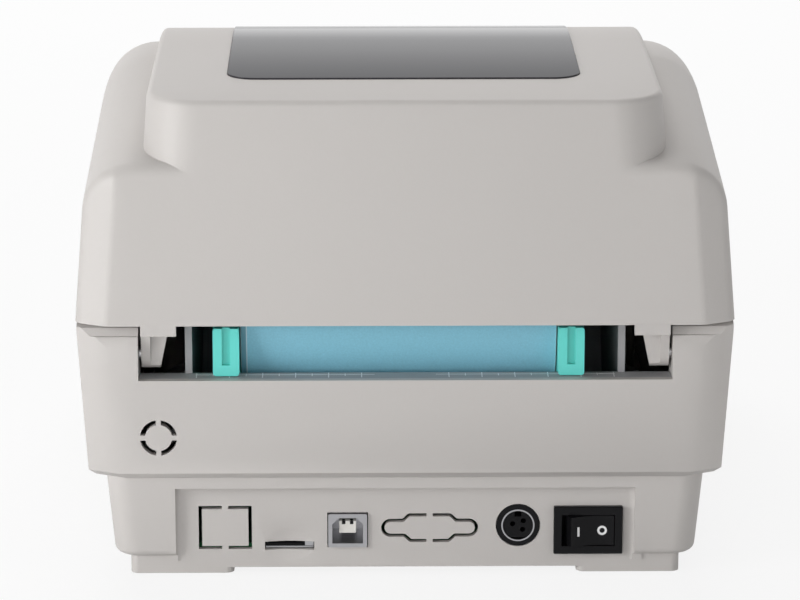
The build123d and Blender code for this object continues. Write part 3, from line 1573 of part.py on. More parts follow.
with BuildPart() as led_lens:
    with Locations(Location((button_x, front_y - 0.2, lamp_z), (-90, 0, 0))):
        Cylinder(
            lamp_r - run_gap, button_board_y - front_y - slide_gap,
            align=(Align.CENTER, Align.CENTER, Align.MIN),
        )
    with Locations(Location((button_x, inner_front_y + 0.1, lamp_z), (-90, 0, 0))):
        Cylinder(lamp_r + 1, 1, align=(Align.CENTER, Align.CENTER, Align.MIN))
led_lens.part.label = "led_lens"
export_step(led_lens.part, "parts/led_lens.step")

with BuildPart() as cover_switch:
    with BuildSketch(from_side(frame_half + frame_wall)):
        with Locations((switch_rib_y, frame_top_z - 2)):
            Rectangle(18, 10, align=(Align.CENTER, Align.MAX))
            Rectangle(3, 1.5, align=(Align.CENTER, Align.MIN))
    extrude(amount=6)
    with Locations((switch_rib_x, switch_rib_y + 2, switch_lever_z)):
        Box(4, 12, 0.5, align=(Align.CENTER, Align.CENTER, Align.MAX))
cover_switch.part.label = "cover_switch"
export_step(cover_switch.part, "parts/cover_switch.step")


# Main board with its larger components
with BuildPart() as main_board:
    with BuildSketch(Plane.XY.offset(board_top_z - board_thickness)):
        with Locations(board_mid):
            Rectangle(board_left - board_right, board_rear - board_front)
            with GridLocations(*board_pitch, 2, 2):
                Circle(screw_r, mode=Mode.SUBTRACT)
    extrude(amount=board_thickness)
main_board.part.label = "main_board"
export_step(main_board.part, "parts/main_board.step")

with BuildPart() as board_capacitors:
    with BuildSketch(Plane.XY.offset(board_top_z)):
        with Locations(*capacitor_places):
            Circle(capacitor_r)
    extrude(amount=capacitor_height)
    fillet(board_capacitors.edges().group_by(Axis.Z)[-1], capacitor_round)
board_capacitors.part.label = "board_capacitors"
export_step(board_capacitors.part, "parts/board_capacitors.step")

with BuildPart() as processor_chip:
    with Locations((*chip_place, board_top_z)):
        Box(chip_size, chip_size, chip_height, align=(Align.CENTER, Align.CENTER, Align.MIN))
    chamfer(processor_chip.edges().group_by(Axis.Z)[-1], chip_chamfer)
processor_chip.part.label = "processor_chip"
export_step(processor_chip.part, "parts/processor_chip.step")

with BuildPart() as board_connectors:
    for x, length in connector_runs:
        with Locations((x, board_front + connector_inset, board_top_z)):
            Box(
                length, connector_width, connector_height,
                align=(Align.CENTER, Align.CENTER, Align.MIN),
            )
        with Locations((x, board_front + connector_inset, board_top_z + connector_height)):
            Box(
                length - 2 * connector_wall, connector_width - 2 * connector_wall, 2 * connector_depth,
                mode=Mode.SUBTRACT,
            )
board_connectors.part.label = "board_connectors"
export_step(board_connectors.part, "parts/board_connectors.step")

# Square socket: a folded metal shell round a white tongue
usb_in_half = usb_width / 2 - usb_rim
with BuildPart() as usb_shell:
    with BuildSketch(from_rear(panel_y + usb_proud)):
        with Locations((usb_x, usb_z)):
            RectangleRounded(usb_width, usb_height, 0.5)
            with BuildLine():
                Polyline(
                    (usb_x - usb_in_half, usb_z - usb_height / 2 + usb_rim),
                    (usb_x + usb_in_half, usb_z - usb_height / 2 + usb_rim),
                    (usb_x + usb_in_half, usb_z + usb_height / 2 - usb_rim - usb_key),
                    (usb_x + usb_in_half - usb_key, usb_z + usb_height / 2 - usb_rim),
                    (usb_x - usb_in_half + usb_key, usb_z + usb_height / 2 - usb_rim),
                    (usb_x - usb_in_half, usb_z + usb_height / 2 - usb_rim - usb_key),
                    close=True,
                )
            make_face(mode=Mode.SUBTRACT)
    extrude(amount=usb_depth)
    with BuildSketch(from_rear(panel_y + usb_proud - usb_depth + usb_wall)):
        with Locations((usb_x, usb_z)):
            Rectangle(usb_width - 2 * usb_wall, usb_height - 2 * usb_wall)
    extrude(amount=usb_wall)
usb_shell.part.label = "usb_shell"
export_step(usb_shell.part, "parts/usb_shell.step")

with BuildPart() as usb_tongue:
    with Locations((usb_x, panel_y + usb_proud - usb_depth + usb_wall, usb_z + usb_tongue_lift)):
        Box(
            usb_tongue_size[0], usb_depth - usb_wall - 2, usb_tongue_size[1],
            align=(Align.CENTER, Align.MIN, Align.CENTER),
        )
    fillet(usb_tongue.edges().filter_by(Axis.Y), 0.3)
usb_tongue.part.label = "usb_tongue"
export_step(usb_tongue.part, "parts/usb_tongue.step")

# Round power inlet: black body with a collar, and a bright ring round the core
with BuildPart() as power_inlet_body:
    with Locations((power_x, panel_y - panel_wall - slide_gap, board_top_z + 0.1)):
        Box(2 * power_r + 1, 13, 2 * power_r + 0.8, align=(Align.CENTER, Align.MAX, Align.MIN))
    with BuildSketch(from_rear(panel_y + 0.2)):
        with Locations((power_x, power_z)):
            Circle(power_r)
    extrude(amount=panel_wall + 1)
    with BuildSketch(from_rear(panel_y + 0.2)):
        with Locations((power_x, power_z)):
            Circle(inlet_ring_r)
            Circle(inlet_core_r, mode=Mode.SUBTRACT)
    extrude(amount=panel_wall + 9, mode=Mode.SUBTRACT)
    with BuildSketch(from_rear(panel_y + 0.2)):
        with Locations(*[(power_x + x, power_z + z) for x, z in pin_places]):
            Circle(pin_hole_r)
        with Locations((power_x, power_z + inlet_core_r - 0.8)):
            Rectangle(2.2, 1.8)
        with Locations((power_x, power_z - inlet_core_r)):
            Rectangle(4.4, 1.2)
    extrude(amount=8, mode=Mode.SUBTRACT)
power_inlet_body.part.label = "power_inlet_body"
export_step(power_inlet_body.part, "parts/power_inlet_body.step")

with BuildPart() as power_inlet_ring:
    with BuildSketch(from_rear(panel_y + 0.35)):
        with Locations((power_x, power_z)):
            Circle(inlet_ring_r)
            Circle(inlet_ring_r - inlet_ring_wall, mode=Mode.SUBTRACT)
    extrude(amount=panel_wall + 9.15)
power_inlet_ring.part.label = "power_inlet_ring"
export_step(power_inlet_ring.part, "parts/power_inlet_ring.step")

with BuildPart() as card_socket:
    with Locations((card_x, panel_y - panel_wall - slide_gap, board_top_z)):
        Box(
            card_width + 2, card_socket_depth, card_socket_height,
            align=(Align.CENTER, Align.MAX, Align.MIN),
        )
    with Locations((card_x, panel_y - panel_wall - slide_gap, board_top_z + card_socket_height)):
        Box(
            card_width + 2, panel_y - panel_wall - 2 * slide_gap - board_rear, card_lip_height,
            align=(Align.CENTER, Align.MAX, Align.MAX),
        )
    with Locations((card_x, panel_y - panel_wall, board_top_z + 0.5)):
        Box(
            card_width - 2, 2 * (card_socket_depth - 2), card_mouth_height,
            align=(Align.CENTER, Align.CENTER, Align.MIN), mode=Mode.SUBTRACT,
        )
card_socket.part.label = "card_socket"
export_step(card_socket.part, "parts/card_socket.step")

# Power switch: a snap-in body with a bezel, and its rocker on two trunnions
window_x = rocker_half + 0.5
window_z = rocker_half_height + slide_gap
with BuildPart() as switch_body:
    with BuildSketch(from_rear(panel_y + switch_bezel)):
        with Locations((switch_x, switch_z)):
            RectangleRounded(switch_width, switch_height, 0.4)
    extrude(amount=switch_bezel)
    chamfer(switch_body.faces().sort_by(Axis.Y)[-1].edges(), 0.3)
    with BuildSketch(from_rear(panel_y)):
        with Locations((switch_x, switch_z)):
            Rectangle(switch_width - 2.6, switch_height - 2.6)
    extrude(amount=switch_depth)
    with BuildSketch(from_rear(panel_y + switch_bezel)):
        with Locations((switch_x, switch_z)):
            Rectangle(2 * window_x, 2 * window_z)
    extrude(amount=panel_y + switch_bezel - rocker_pivot_y + 5, mode=Mode.SUBTRACT)
    with Locations((switch_x, rocker_pivot_y, switch_z)):
        Cylinder(trunnion_r + run_gap, 2 * window_z + 1.4, mode=Mode.SUBTRACT)
switch_body.part.label = "switch_body"
export_step(switch_body.part, "parts/switch_body.step")

with BuildPart() as rocker:
    with BuildSketch(Plane.XY.offset(switch_z - rocker_half_height)):
        with Locations(Location((switch_x, rocker_pivot_y), rocker_tilt)):
            with BuildLine(mode=Mode.PRIVATE) as rocker_line:
                valley = ThreePointArc(
                    (-rocker_top_half, rocker_end_rise),
                    (0, rocker_rise),
                    (rocker_top_half, rocker_end_rise),
                )
                Polyline(
                    valley @ 1,
                    (rocker_half, 2),
                    (rocker_half / 2, -3),
                    (-rocker_half / 2, -3),
                    (-rocker_half, 2),
                    valley @ 0,
                )
            add(make_face(rocker_line.edges(), mode=Mode.PRIVATE))
    extrude(amount=2 * rocker_half_height)
    with Locations((switch_x, rocker_pivot_y, switch_z)):
        Cylinder(trunnion_r, 2 * window_z + 1)
rocker.part.label = "rocker"
export_step(rocker.part, "parts/rocker.step")


# Screws, one node for each kind and place
def screw_group(name, length, places):
    """Like screws at several places, each given as a Location with the head along its Z."""
    with BuildPart() as group:
        with Locations(*places):
            add(screw_form(length))
    group.part.label = name
    export_step(group.part, "parts/" + name + ".step")


screw_group(
    "case_screws",
    split_z + lug_height - tier_z - post_sink - 1.5,
    [
        Location((x, y, tier_z + post_sink), (180, 0, 0))
        for x in (-post_x, post_x)
        for y in (post_front_y, post_rear_y)
    ],
)
screw_group(
    "tray_screws",
    tray_bracket_thick + bevel_z + 0.5 - split_z,
    [
        Location((x, y, tray_bracket_z + tray_bracket_thick))
        for x in (-tray_screw_x, tray_screw_x)
        for y in tray_bracket_ys
    ],
)
board_half_x, board_half_y = board_pitch[0] / 2, board_pitch[1] / 2
screw_group(
    "board_screws",
    board_screw_length,
    [
        Location((board_mid[0] + x, board_mid[1] + y, board_top_z))
        for x in (-board_half_x, board_half_x)
        for y in (-board_half_y, board_half_y)
    ]
    + [
        Location((x, button_board_y + button_board_thickness, z), (-90, 0, 0))
        for x, z in button_board_screws
    ],
)
screw_group(
    "frame_screws",
    frame_screw_length,
    [
        Location((x, y, base_floor_z + frame_wall))
        for x in (-foot_screw_x, foot_screw_x)
        for y in frame_screw_ys
    ]
    + [
        Location((-frame_half - frame_wall, motor_y + y, motor_z + z), (0, -90, 0))
        for y in (-motor_screw_pitch / 2, motor_screw_pitch / 2)
        for z in (-motor_screw_pitch / 2, motor_screw_pitch / 2)
    ],
)
screw_group(
    "liner_screws",
    liner_screw_length,
    [Location((x, y, liner_z), (180, 0, 0)) for x, y in liner_screw_places],
)
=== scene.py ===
"""Desktop label printer: finishes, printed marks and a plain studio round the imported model."""

from __future__ import annotations

import json
import logging
import math
from dataclasses import dataclass
from enum import Enum

import bmesh
import bpy
from mathutils import Matrix, Vector

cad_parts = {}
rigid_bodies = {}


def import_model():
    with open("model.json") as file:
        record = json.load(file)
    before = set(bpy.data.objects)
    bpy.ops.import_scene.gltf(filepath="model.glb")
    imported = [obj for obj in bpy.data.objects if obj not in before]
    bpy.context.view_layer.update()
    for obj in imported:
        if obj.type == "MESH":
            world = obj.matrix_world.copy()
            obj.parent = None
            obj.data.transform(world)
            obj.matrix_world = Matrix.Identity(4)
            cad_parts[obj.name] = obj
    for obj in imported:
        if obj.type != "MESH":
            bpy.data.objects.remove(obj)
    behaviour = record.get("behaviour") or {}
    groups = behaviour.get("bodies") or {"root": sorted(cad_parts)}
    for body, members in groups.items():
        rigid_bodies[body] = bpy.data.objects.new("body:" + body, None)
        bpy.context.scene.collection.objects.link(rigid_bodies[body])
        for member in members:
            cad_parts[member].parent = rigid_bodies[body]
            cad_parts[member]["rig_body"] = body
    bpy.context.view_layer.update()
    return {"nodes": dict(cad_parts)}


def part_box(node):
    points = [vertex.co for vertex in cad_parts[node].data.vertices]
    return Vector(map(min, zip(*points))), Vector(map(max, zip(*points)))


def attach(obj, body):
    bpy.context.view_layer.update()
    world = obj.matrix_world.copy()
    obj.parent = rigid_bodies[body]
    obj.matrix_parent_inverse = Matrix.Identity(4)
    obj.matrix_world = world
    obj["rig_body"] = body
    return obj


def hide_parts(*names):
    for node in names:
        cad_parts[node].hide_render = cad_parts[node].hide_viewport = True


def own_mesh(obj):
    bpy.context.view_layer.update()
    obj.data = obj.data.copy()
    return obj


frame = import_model()
LOG = logging.getLogger("label_printer")
MM = 0.001

Colour = tuple[float, float, float]
Triple = tuple[float, float, float]


def srgb(red: int, green: int, blue: int) -> Colour:
    """Turns an 8-bit display colour into the linear colour that a shader takes.

    Args:
        red: Red, 0 to 255.
        green: Green, 0 to 255.
        blue: Blue, 0 to 255.

    Returns:
        The linear colour.
    """
    return tuple(
        part / 255 / 12.92 if part <= 10 else ((part / 255 + 0.055) / 1.055) ** 2.4
        for part in (red, green, blue)
    )


def toned(colour: Colour, factor: float, lift: float = 0.0) -> Colour:
    """Makes a colour darker, lighter or paler.

    Args:
        colour: The linear colour.
        factor: What each part is multiplied by.
        lift: What is then added to each part.

    Returns:
        The new colour.
    """
    return tuple(part * factor + lift for part in colour)


class Value:
    """A number in a shader tree that takes part in ordinary expressions."""

    def __init__(self, maker: NodeMaker, socket: bpy.types.NodeSocket) -> None:
        """Wraps an output socket.

        Args:
            maker: The maker that owns the tree.
            socket: The output socket.
        """
        self.maker = maker
        self.socket = socket

    def _math(self, operation: str, first: Value | float, second: Value | float) -> Value:
        """Adds one Math node.

        Args:
            operation: Name of the operation.
            first: First operand.
            second: Second operand.

        Returns:
            The result.
        """
        node = self.maker.node("ShaderNodeMath", {"operation": operation}, {0: first, 1: second})
        return Value(self.maker, node.outputs[0])

    def __add__(self, other: Value | float) -> Value:
        """Sum."""
        return self._math("ADD", self, other)

    def __radd__(self, other: float) -> Value:
        """Sum with a plain number first."""
        return self._math("ADD", other, self)

    def __sub__(self, other: Value | float) -> Value:
        """Difference."""
        return self._math("SUBTRACT", self, other)

    def __rsub__(self, other: float) -> Value:
        """Difference from a plain number."""
        return self._math("SUBTRACT", other, self)

    def __mul__(self, other: Value | float) -> Value:
        """Product."""
        return self._math("MULTIPLY", self, other)

    def __rmul__(self, other: float) -> Value:
        """Product with a plain number first."""
        return self._math("MULTIPLY", other, self)

    def above(self, limit: float) -> Value:
        """1 where the value is above the limit, else 0."""
        return self._math("GREATER_THAN", self, limit)

    def at_least(self, limit: float) -> Value:
        """The value, or the limit where the value is lower."""
        return self._math("MAXIMUM", self, limit)

    def power(self, exponent: float) -> Value:
        """The value raised to a power."""
        return self._math("POWER", self, exponent)


class NodeMaker:
    """Adds nodes to a shader tree."""

    def __init__(self, tree: bpy.types.NodeTree) -> None:
        """Takes over a tree and empties it.

        Args:
            tree: The tree.
        """
        self.tree = tree
        self.tree.nodes.clear()

    def node(
        self,
        kind: str,
        settings: dict[str, object] | None = None,
        inputs: dict[str | int, object] | None = None,
    ) -> bpy.types.Node:
        """Adds a node, sets it up and fills its sockets.

        Args:
            kind: Blender's name for the node type.
            settings: Properties set before the sockets; "stops" fills a colour ramp.
            inputs: Values, wrapped values or output sockets by socket name or number.

        Returns:
            The new node.
        """
        node = self.tree.nodes.new(kind)
        for key, setting in (settings or {}).items():
            if key == "stops":
                self._fill_ramp(node.color_ramp, setting)
            else:
                setattr(node, key, setting)
        for key, value in (inputs or {}).items():
            self.fill(node.inputs[key], value)
        return node

    def fill(self, socket: bpy.types.NodeSocket, value: object) -> None:
        """Links an input socket or sets its value.

        Args:
            socket: The input socket.
            value: A wrapped value, an output socket or a plain value.
        """
        if isinstance(value, Value):
            value = value.socket
        if isinstance(value, bpy.types.NodeSocket):
            self.tree.links.new(value, socket)
        else:
            socket.default_value = value

    @staticmethod
    def _fill_ramp(ramp: bpy.types.ColorRamp, stops: list[tuple[float, Colour]]) -> None:
        """Gives a colour ramp its stops.

        Args:
            ramp: The ramp.
            stops: Places and colours, in order.
        """
        while len(ramp.elements) < len(stops):
            ramp.elements.new(1.0)
        for element, (place, colour) in zip(ramp.elements, stops):
            element.position = place
            element.color = (*colour, 1.0)

    def seen(self) -> tuple[Value, Value]:
        """Tells the rays that show the surroundings from the rays that light the object.

        Returns:
            1 for rays from the camera or through glass, and 1 for reflected rays.
        """
        path = self.node("ShaderNodeLightPath")
        camera, glossy, through = (
            Value(self, path.outputs[name])
            for name in ("Is Camera Ray", "Is Glossy Ray", "Is Transmission Ray")
        )
        return camera + through, glossy


class ShaderMaker(NodeMaker):
    """Builds one material: a principled shader and what feeds it."""

    def __init__(self, name: str) -> None:
        """Starts a material with a principled shader.

        Args:
            name: The material's name.
        """
        self.material = bpy.data.materials.new(name)
        self.material.use_nodes = True
        super().__init__(self.material.node_tree)
        self.output = self.node("ShaderNodeOutputMaterial")
        self.shader = self.node("ShaderNodeBsdfPrincipled")
        self.fill(self.output.inputs["Surface"], self.shader.outputs[0])

    def place(
        self, stretch: Triple = (1.0, 1.0, 1.0), shift: Triple = (0.0, 0.0, 0.0)
    ) -> bpy.types.NodeSocket:
        """Object coordinates in metres, stretched and shifted.

        Args:
            stretch: Scale along each axis.
            shift: Shift along each axis, after the scale.

        Returns:
            The vector socket.
        """
        coords = self.node("ShaderNodeTexCoord")
        mapping = self.node(
            "ShaderNodeMapping",
            {"vector_type": "POINT"},
            {"Vector": coords.outputs["Object"], "Scale": stretch, "Location": shift},
        )
        return mapping.outputs[0]

    def axes(self, shift: Triple) -> tuple[Value, Value, Value]:
        """Object coordinates in metres, shifted and taken apart.

        Args:
            shift: Shift along each axis.

        Returns:
            The place along X, Y and Z.
        """
        parts = self.node("ShaderNodeSeparateXYZ", {}, {0: self.place(shift=shift)})
        return tuple(Value(self, socket) for socket in parts.outputs)

    def noise(self, grain: float, detail: float = 2.0, stretch: Triple = (1.0, 1.0, 1.0)) -> Value:
        """Noise whose features are about one grain across.

        Args:
            grain: Size of a feature, in metres.
            detail: Octaves of finer noise.
            stretch: Scale of the coordinates along each axis.

        Returns:
            Noise from 0 to 1.
        """
        node = self.node(
            "ShaderNodeTexNoise",
            {},
            {"Vector": self.place(stretch), "Scale": 1 / grain, "Detail": detail},
        )
        return Value(self, node.outputs["Fac"])

    def blend(self, share: Value | float, low: object, high: object) -> bpy.types.NodeSocket:
        """Mixes two colours.

        Args:
            share: 0 gives low, 1 gives high.
            low: A colour or a colour socket.
            high: A colour or a colour socket.

        Returns:
            The mixed colour.
        """
        low, high = ((*part, 1.0) if isinstance(part, tuple) else part for part in (low, high))
        node = self.node("ShaderNodeMix", {"data_type": "RGBA"}, {0: share, 6: low, 7: high})
        return node.outputs[2]

    def relief(self, height: Value, depth: float) -> None:
        """Feeds a bump to the shader's normal.

        Args:
            height: The height.
            depth: What a height of 1 stands for, in metres.
        """
        bump = self.node("ShaderNodeBump", {}, {"Height": height, "Distance": depth})
        self.fill(self.shader.inputs["Normal"], bump.outputs[0])

    def set(self, **sockets: object) -> bpy.types.Material:
        """Fills the shader's own sockets.

        Args:
            sockets: Values or links, with socket names written with underscores.

        Returns:
            The finished material.
        """
        for key, value in sockets.items():
            value = (*value, 1.0) if isinstance(value, tuple) else value
            self.fill(self.shader.inputs[key.replace("_", " ")], value)
        return self.material


@dataclass(frozen=True)
class Finish:
    """What a piece's surface is made of."""

    name: str
    colour: Colour

    def material(self) -> bpy.types.Material:
        """Makes the material; each kind of finish has its own."""
        raise NotImplementedError


@dataclass(frozen=True)
class MouldedPlastic(Finish):
    """Injection-moulded plastic with a fine eroded texture and broad, faint clouds."""

    gloss: float = 0.48
    grain: float = 0.45 * MM
    depth: float = 0.03 * MM
    mottle: float = 0.05
    shine: float = 0.4
    cloud: float = 60 * MM
    cloud_gloss: float = 0.1

    def material(self) -> bpy.types.Material:
        """Makes the material.

        Returns:
            The material.
        """
        maker = ShaderMaker(self.name)
        fine = maker.noise(self.grain, detail=3.0)
        broad = maker.noise(self.cloud)
        worn = toned(self.colour, 1 - self.mottle)
        maker.relief(fine, self.depth)
        return maker.set(
            Base_Color=maker.blend(fine * 0.5 + broad * 0.5, worn, self.colour),
            Roughness=broad * self.cloud_gloss + (self.gloss - self.cloud_gloss / 2),
            Specular_IOR_Level=self.shine,
        )


@dataclass(frozen=True)
class PolishedPlastic(Finish):
    """Polished plastic, such as the tinted window, with a thin haze and specks of dust.

    Behind crown_from its relief falls away by crown times the distance squared, as a bowed pane does.
    """

    gloss: float = 0.06
    coat: float = 0.3
    coat_gloss: float = 0.04
    crown: float = 0.0
    crown_from: float = 0.0
    haze: float = 30 * MM
    haze_depth: float = 0.006 * MM
    haze_gloss: float = 0.03
    haze_tone: float = 1.5
    haze_lift: float = 0.002
    dust: float = 1.2 * MM
    dust_above: float = 0.72
    dust_gloss: float = 0.05

    def material(self) -> bpy.types.Material:
        """Makes the material.

        Returns:
            The material.
        """
        maker = ShaderMaker(self.name)
        haze = maker.noise(self.haze, detail=3.0)
        dust = maker.noise(self.dust, detail=1.0)
        lifted = toned(self.colour, self.haze_tone, self.haze_lift)
        behind = maker.axes((0, -self.crown_from, 0))[1].at_least(0.0)
        maker.relief(haze * self.haze_depth - behind * behind * self.crown, 1.0)
        specks = dust.above(self.dust_above) * self.dust_gloss
        return maker.set(
            Base_Color=maker.blend(haze, self.colour, lifted),
            Roughness=haze * self.haze_gloss + specks + self.gloss,
            Coat_Weight=self.coat,
            Coat_Roughness=self.coat_gloss,
        )


@dataclass(frozen=True)
class SheetSteel(Finish):
    """Plated sheet or turned metal with a directional grain.

    mean_gloss is about what the grain and the clouds add to the roughness on average.
    """

    gloss: float = 0.3
    grain_along: Triple = (0.06, 1.0, 1.0)
    line: float = 0.35 * MM
    line_depth: float = 0.008 * MM
    line_gloss: float = 0.14
    cloud: float = 9 * MM
    cloud_gloss: float = 0.08
    mean_gloss: float = 0.1
    dulled: float = 0.82

    def material(self) -> bpy.types.Material:
        """Makes the material.

        Returns:
            The material.
        """
        maker = ShaderMaker(self.name)
        lines = maker.noise(self.line, stretch=self.grain_along)
        cloud = maker.noise(self.cloud, detail=3.0)
        maker.relief(lines, self.line_depth)
        varied = lines * self.line_gloss + cloud * self.cloud_gloss
        return maker.set(
            Base_Color=maker.blend(cloud, toned(self.colour, self.dulled), self.colour),
            Roughness=varied + (self.gloss - self.mean_gloss),
            Metallic=1.0,
        )


@dataclass(frozen=True)
class GroundRubber(Finish):
    """Ground or moulded rubber, dusty in its pores."""

    gloss: float = 0.62
    shine: float = 0.35
    grain: float = 0.3 * MM
    depth: float = 0.02 * MM
    grain_gloss: float = 0.12
    dust_power: float = 3.0
    dust_tone: float = 1.8
    dust_lift: float = 0.01

    def material(self) -> bpy.types.Material:
        """Makes the material.

        Returns:
            The material.
        """
        maker = ShaderMaker(self.name)
        grain = maker.noise(self.grain)
        dusty = toned(self.colour, self.dust_tone, self.dust_lift)
        maker.relief(grain, self.depth)
        return maker.set(
            Base_Color=maker.blend(grain.power(self.dust_power), self.colour, dusty),
            Roughness=grain * self.grain_gloss + self.gloss,
            Specular_IOR_Level=self.shine,
        )


@dataclass(frozen=True)
class LabelLiner(Finish):
    """The coated backing paper on the outside of the roll, with the roll's layered ends.

    The paper shows at the ends, and a pale line runs round one edge of the web; the dimmer margin
    beyond it is painted shade, the shadow of the guide's inner wall.
    """

    paper: Colour
    centre: Vector
    half_width: float
    # painted shade: width of the darkened margin at one edge of the web, with the pale line at its
    # inner side
    painted_shade_band: float = 2.0 * MM
    edge_line: float = 0.35 * MM
    end_margin: float = 0.05 * MM
    layer: float = 0.35 * MM
    speck: float = 0.6 * MM
    depth: float = 0.03 * MM
    gloss: float = 0.5
    speck_gloss: float = 0.1
    shine: float = 0.4
    light_tone: float = 1.3
    # painted shade: how much darker the margin beyond the pale line is made
    painted_shade_tone: float = 0.7
    layer_tone: float = 0.72
    line_tone: float = 0.5
    line_lift: float = 0.4

    def material(self) -> bpy.types.Material:
        """Makes the material.

        Returns:
            The material.
        """
        maker = ShaderMaker(self.name)
        across, rear, up = maker.axes(tuple(-part for part in self.centre))
        radius = (rear * rear + up * up).power(0.5)
        layers = maker.node(
            "ShaderNodeTexNoise",
            {"noise_dimensions": "1D"},
            {"W": radius, "Scale": 1 / self.layer, "Detail": 1.0},
        )
        layer = Value(maker, layers.outputs["Fac"])
        speck = maker.noise(self.speck)
        line_at = self.half_width - self.painted_shade_band
        # painted shade mask: the web beyond the pale line, darkened to stand for the guide's inner wall
        # in shadow
        in_painted_shade = across.above(line_at)
        on_line = in_painted_shade - across.above(line_at + self.edge_line)
        at_end = (across * across).above((self.half_width - self.end_margin) ** 2)
        web = maker.blend(speck, self.colour, toned(self.colour, self.light_tone))
        # painted shade: the margin is darkened here
        web = maker.blend(in_painted_shade, web, toned(self.colour, self.painted_shade_tone))
        web = maker.blend(on_line, web, toned(self.colour, self.line_tone, self.line_lift))
        end = maker.blend(layer, toned(self.paper, self.layer_tone), self.paper)
        maker.relief(speck * (1 - at_end) + layer * at_end, self.depth)
        return maker.set(
            Base_Color=maker.blend(at_end, web, end),
            Roughness=speck * self.speck_gloss + self.gloss,
            Specular_IOR_Level=self.shine,
        )


@dataclass(frozen=True)
class WoundBoard(Finish):
    """Spiral-wound cardboard."""

    fibre: float = 0.5 * MM
    fibre_along: Triple = (0.3, 1.0, 1.0)
    fibre_tone: float = 0.7
    depth: float = 0.05 * MM
    gloss: float = 0.85

    def material(self) -> bpy.types.Material:
        """Makes the material.

        Returns:
            The material.
        """
        maker = ShaderMaker(self.name)
        fibre = maker.noise(self.fibre, detail=4.0, stretch=self.fibre_along)
        maker.relief(fibre, self.depth)
        return maker.set(
            Base_Color=maker.blend(fibre, toned(self.colour, self.fibre_tone), self.colour),
            Roughness=self.gloss,
        )


@dataclass(frozen=True)
class BoardResin(Finish):
    """Green lacquered circuit board with faint copper tracks."""

    gloss: float = 0.25
    lacquer: float = 4 * MM
    lacquer_gloss: float = 0.1
    area_tone: float = 1.25
    track_tone: float = 1.9
    track_scale: float = 260.0
    track_width: float = 0.06
    track_offset: float = 0.35

    def material(self) -> bpy.types.Material:
        """Makes the material.

        Returns:
            The material.
        """
        maker = ShaderMaker(self.name)
        tracks = maker.node(
            "ShaderNodeTexBrick",
            {"offset": self.track_offset, "offset_frequency": 2},
            {
                "Vector": maker.place(),
                "Color1": (*self.colour, 1.0),
                "Color2": (*toned(self.colour, self.area_tone), 1.0),
                "Mortar": (*toned(self.colour, self.track_tone), 1.0),
                "Scale": self.track_scale,
                "Mortar Size": self.track_width,
            },
        )
        lacquer = maker.noise(self.lacquer)
        return maker.set(
            Base_Color=tracks.outputs["Color"],
            Roughness=lacquer * self.lacquer_gloss + self.gloss,
        )


class Paint(Enum):
    """Named colours of the printer's finishes."""

    SHELL = srgb(194, 190, 187)
    TRAY = srgb(158, 158, 160)
    TURQUOISE = srgb(100, 214, 205)
    LINER = srgb(124, 180, 199)
    LABEL = srgb(225, 226, 224)
    BLACK = srgb(15, 15, 17)
    WINDOW = srgb(27, 26, 34)
    DARK_GREY = srgb(58, 58, 60)
    IVORY = srgb(228, 226, 220)
    PRINT_WHITE = srgb(236, 236, 236)
    ZINC = (0.68, 0.69, 0.7)
    SOCKET = (0.5, 0.5, 0.52)
    STEEL = (0.56, 0.56, 0.57)
    BRASS = (0.66, 0.46, 0.17)
    ALUMINIUM = (0.72, 0.73, 0.75)
    BOARD = srgb(24, 96, 52)
    CARDBOARD = srgb(176, 142, 98)
    GLAZE = srgb(120, 92, 66)
    LAMP = srgb(60, 170, 70)
    RUBBER = srgb(34, 34, 36)


def add_bar(shape: bmesh.types.BMesh, middle: Triple, size: Triple) -> None:
    """Adds a bar to a shape.

    Args:
        shape: The shape to add to.
        middle: Middle of the bar.
        size: Its size along X, Y and Z.
    """
    made = bmesh.ops.create_cube(shape, size=1.0)
    bmesh.ops.scale(shape, vec=Vector(size), verts=made["verts"])
    bmesh.ops.translate(shape, vec=Vector(middle), verts=made["verts"])


def round_edges(shape: bmesh.types.BMesh, radius: float) -> None:
    """Rounds every edge of a shape.

    Args:
        shape: The shape.
        radius: Radius of the rounding.
    """
    bmesh.ops.bevel(
        shape,
        geom=shape.edges[:],
        offset=radius,
        affect="EDGES",
        segments=2,
        profile=0.5,
        material=-1,
    )


def new_object(name: str, shape: bmesh.types.BMesh, finish: bpy.types.Material) -> bpy.types.Object:
    """Makes an object from a bmesh and puts it in the scene.

    Args:
        name: The object's name.
        shape: Its shape, in metres in the model's frame; it is freed.
        finish: Its material.

    Returns:
        The object.
    """
    mesh = bpy.data.meshes.new(name)
    shape.to_mesh(mesh)
    shape.free()
    mesh.materials.append(finish)
    made = bpy.data.objects.new(name, mesh)
    bpy.context.scene.collection.objects.link(made)
    return made


def new_piece(
    name: str, shape: bmesh.types.BMesh, body: str, finish: bpy.types.Material
) -> bpy.types.Object:
    """Makes a piece of the printer from a bmesh and lets it ride on a body.

    Args:
        name: The piece's name.
        shape: Its shape, in metres in the model's frame; it is freed.
        body: The body that carries it.
        finish: Its material.

    Returns:
        The piece.
    """
    piece = new_object(name, shape, finish)
    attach(piece, body)
    return piece


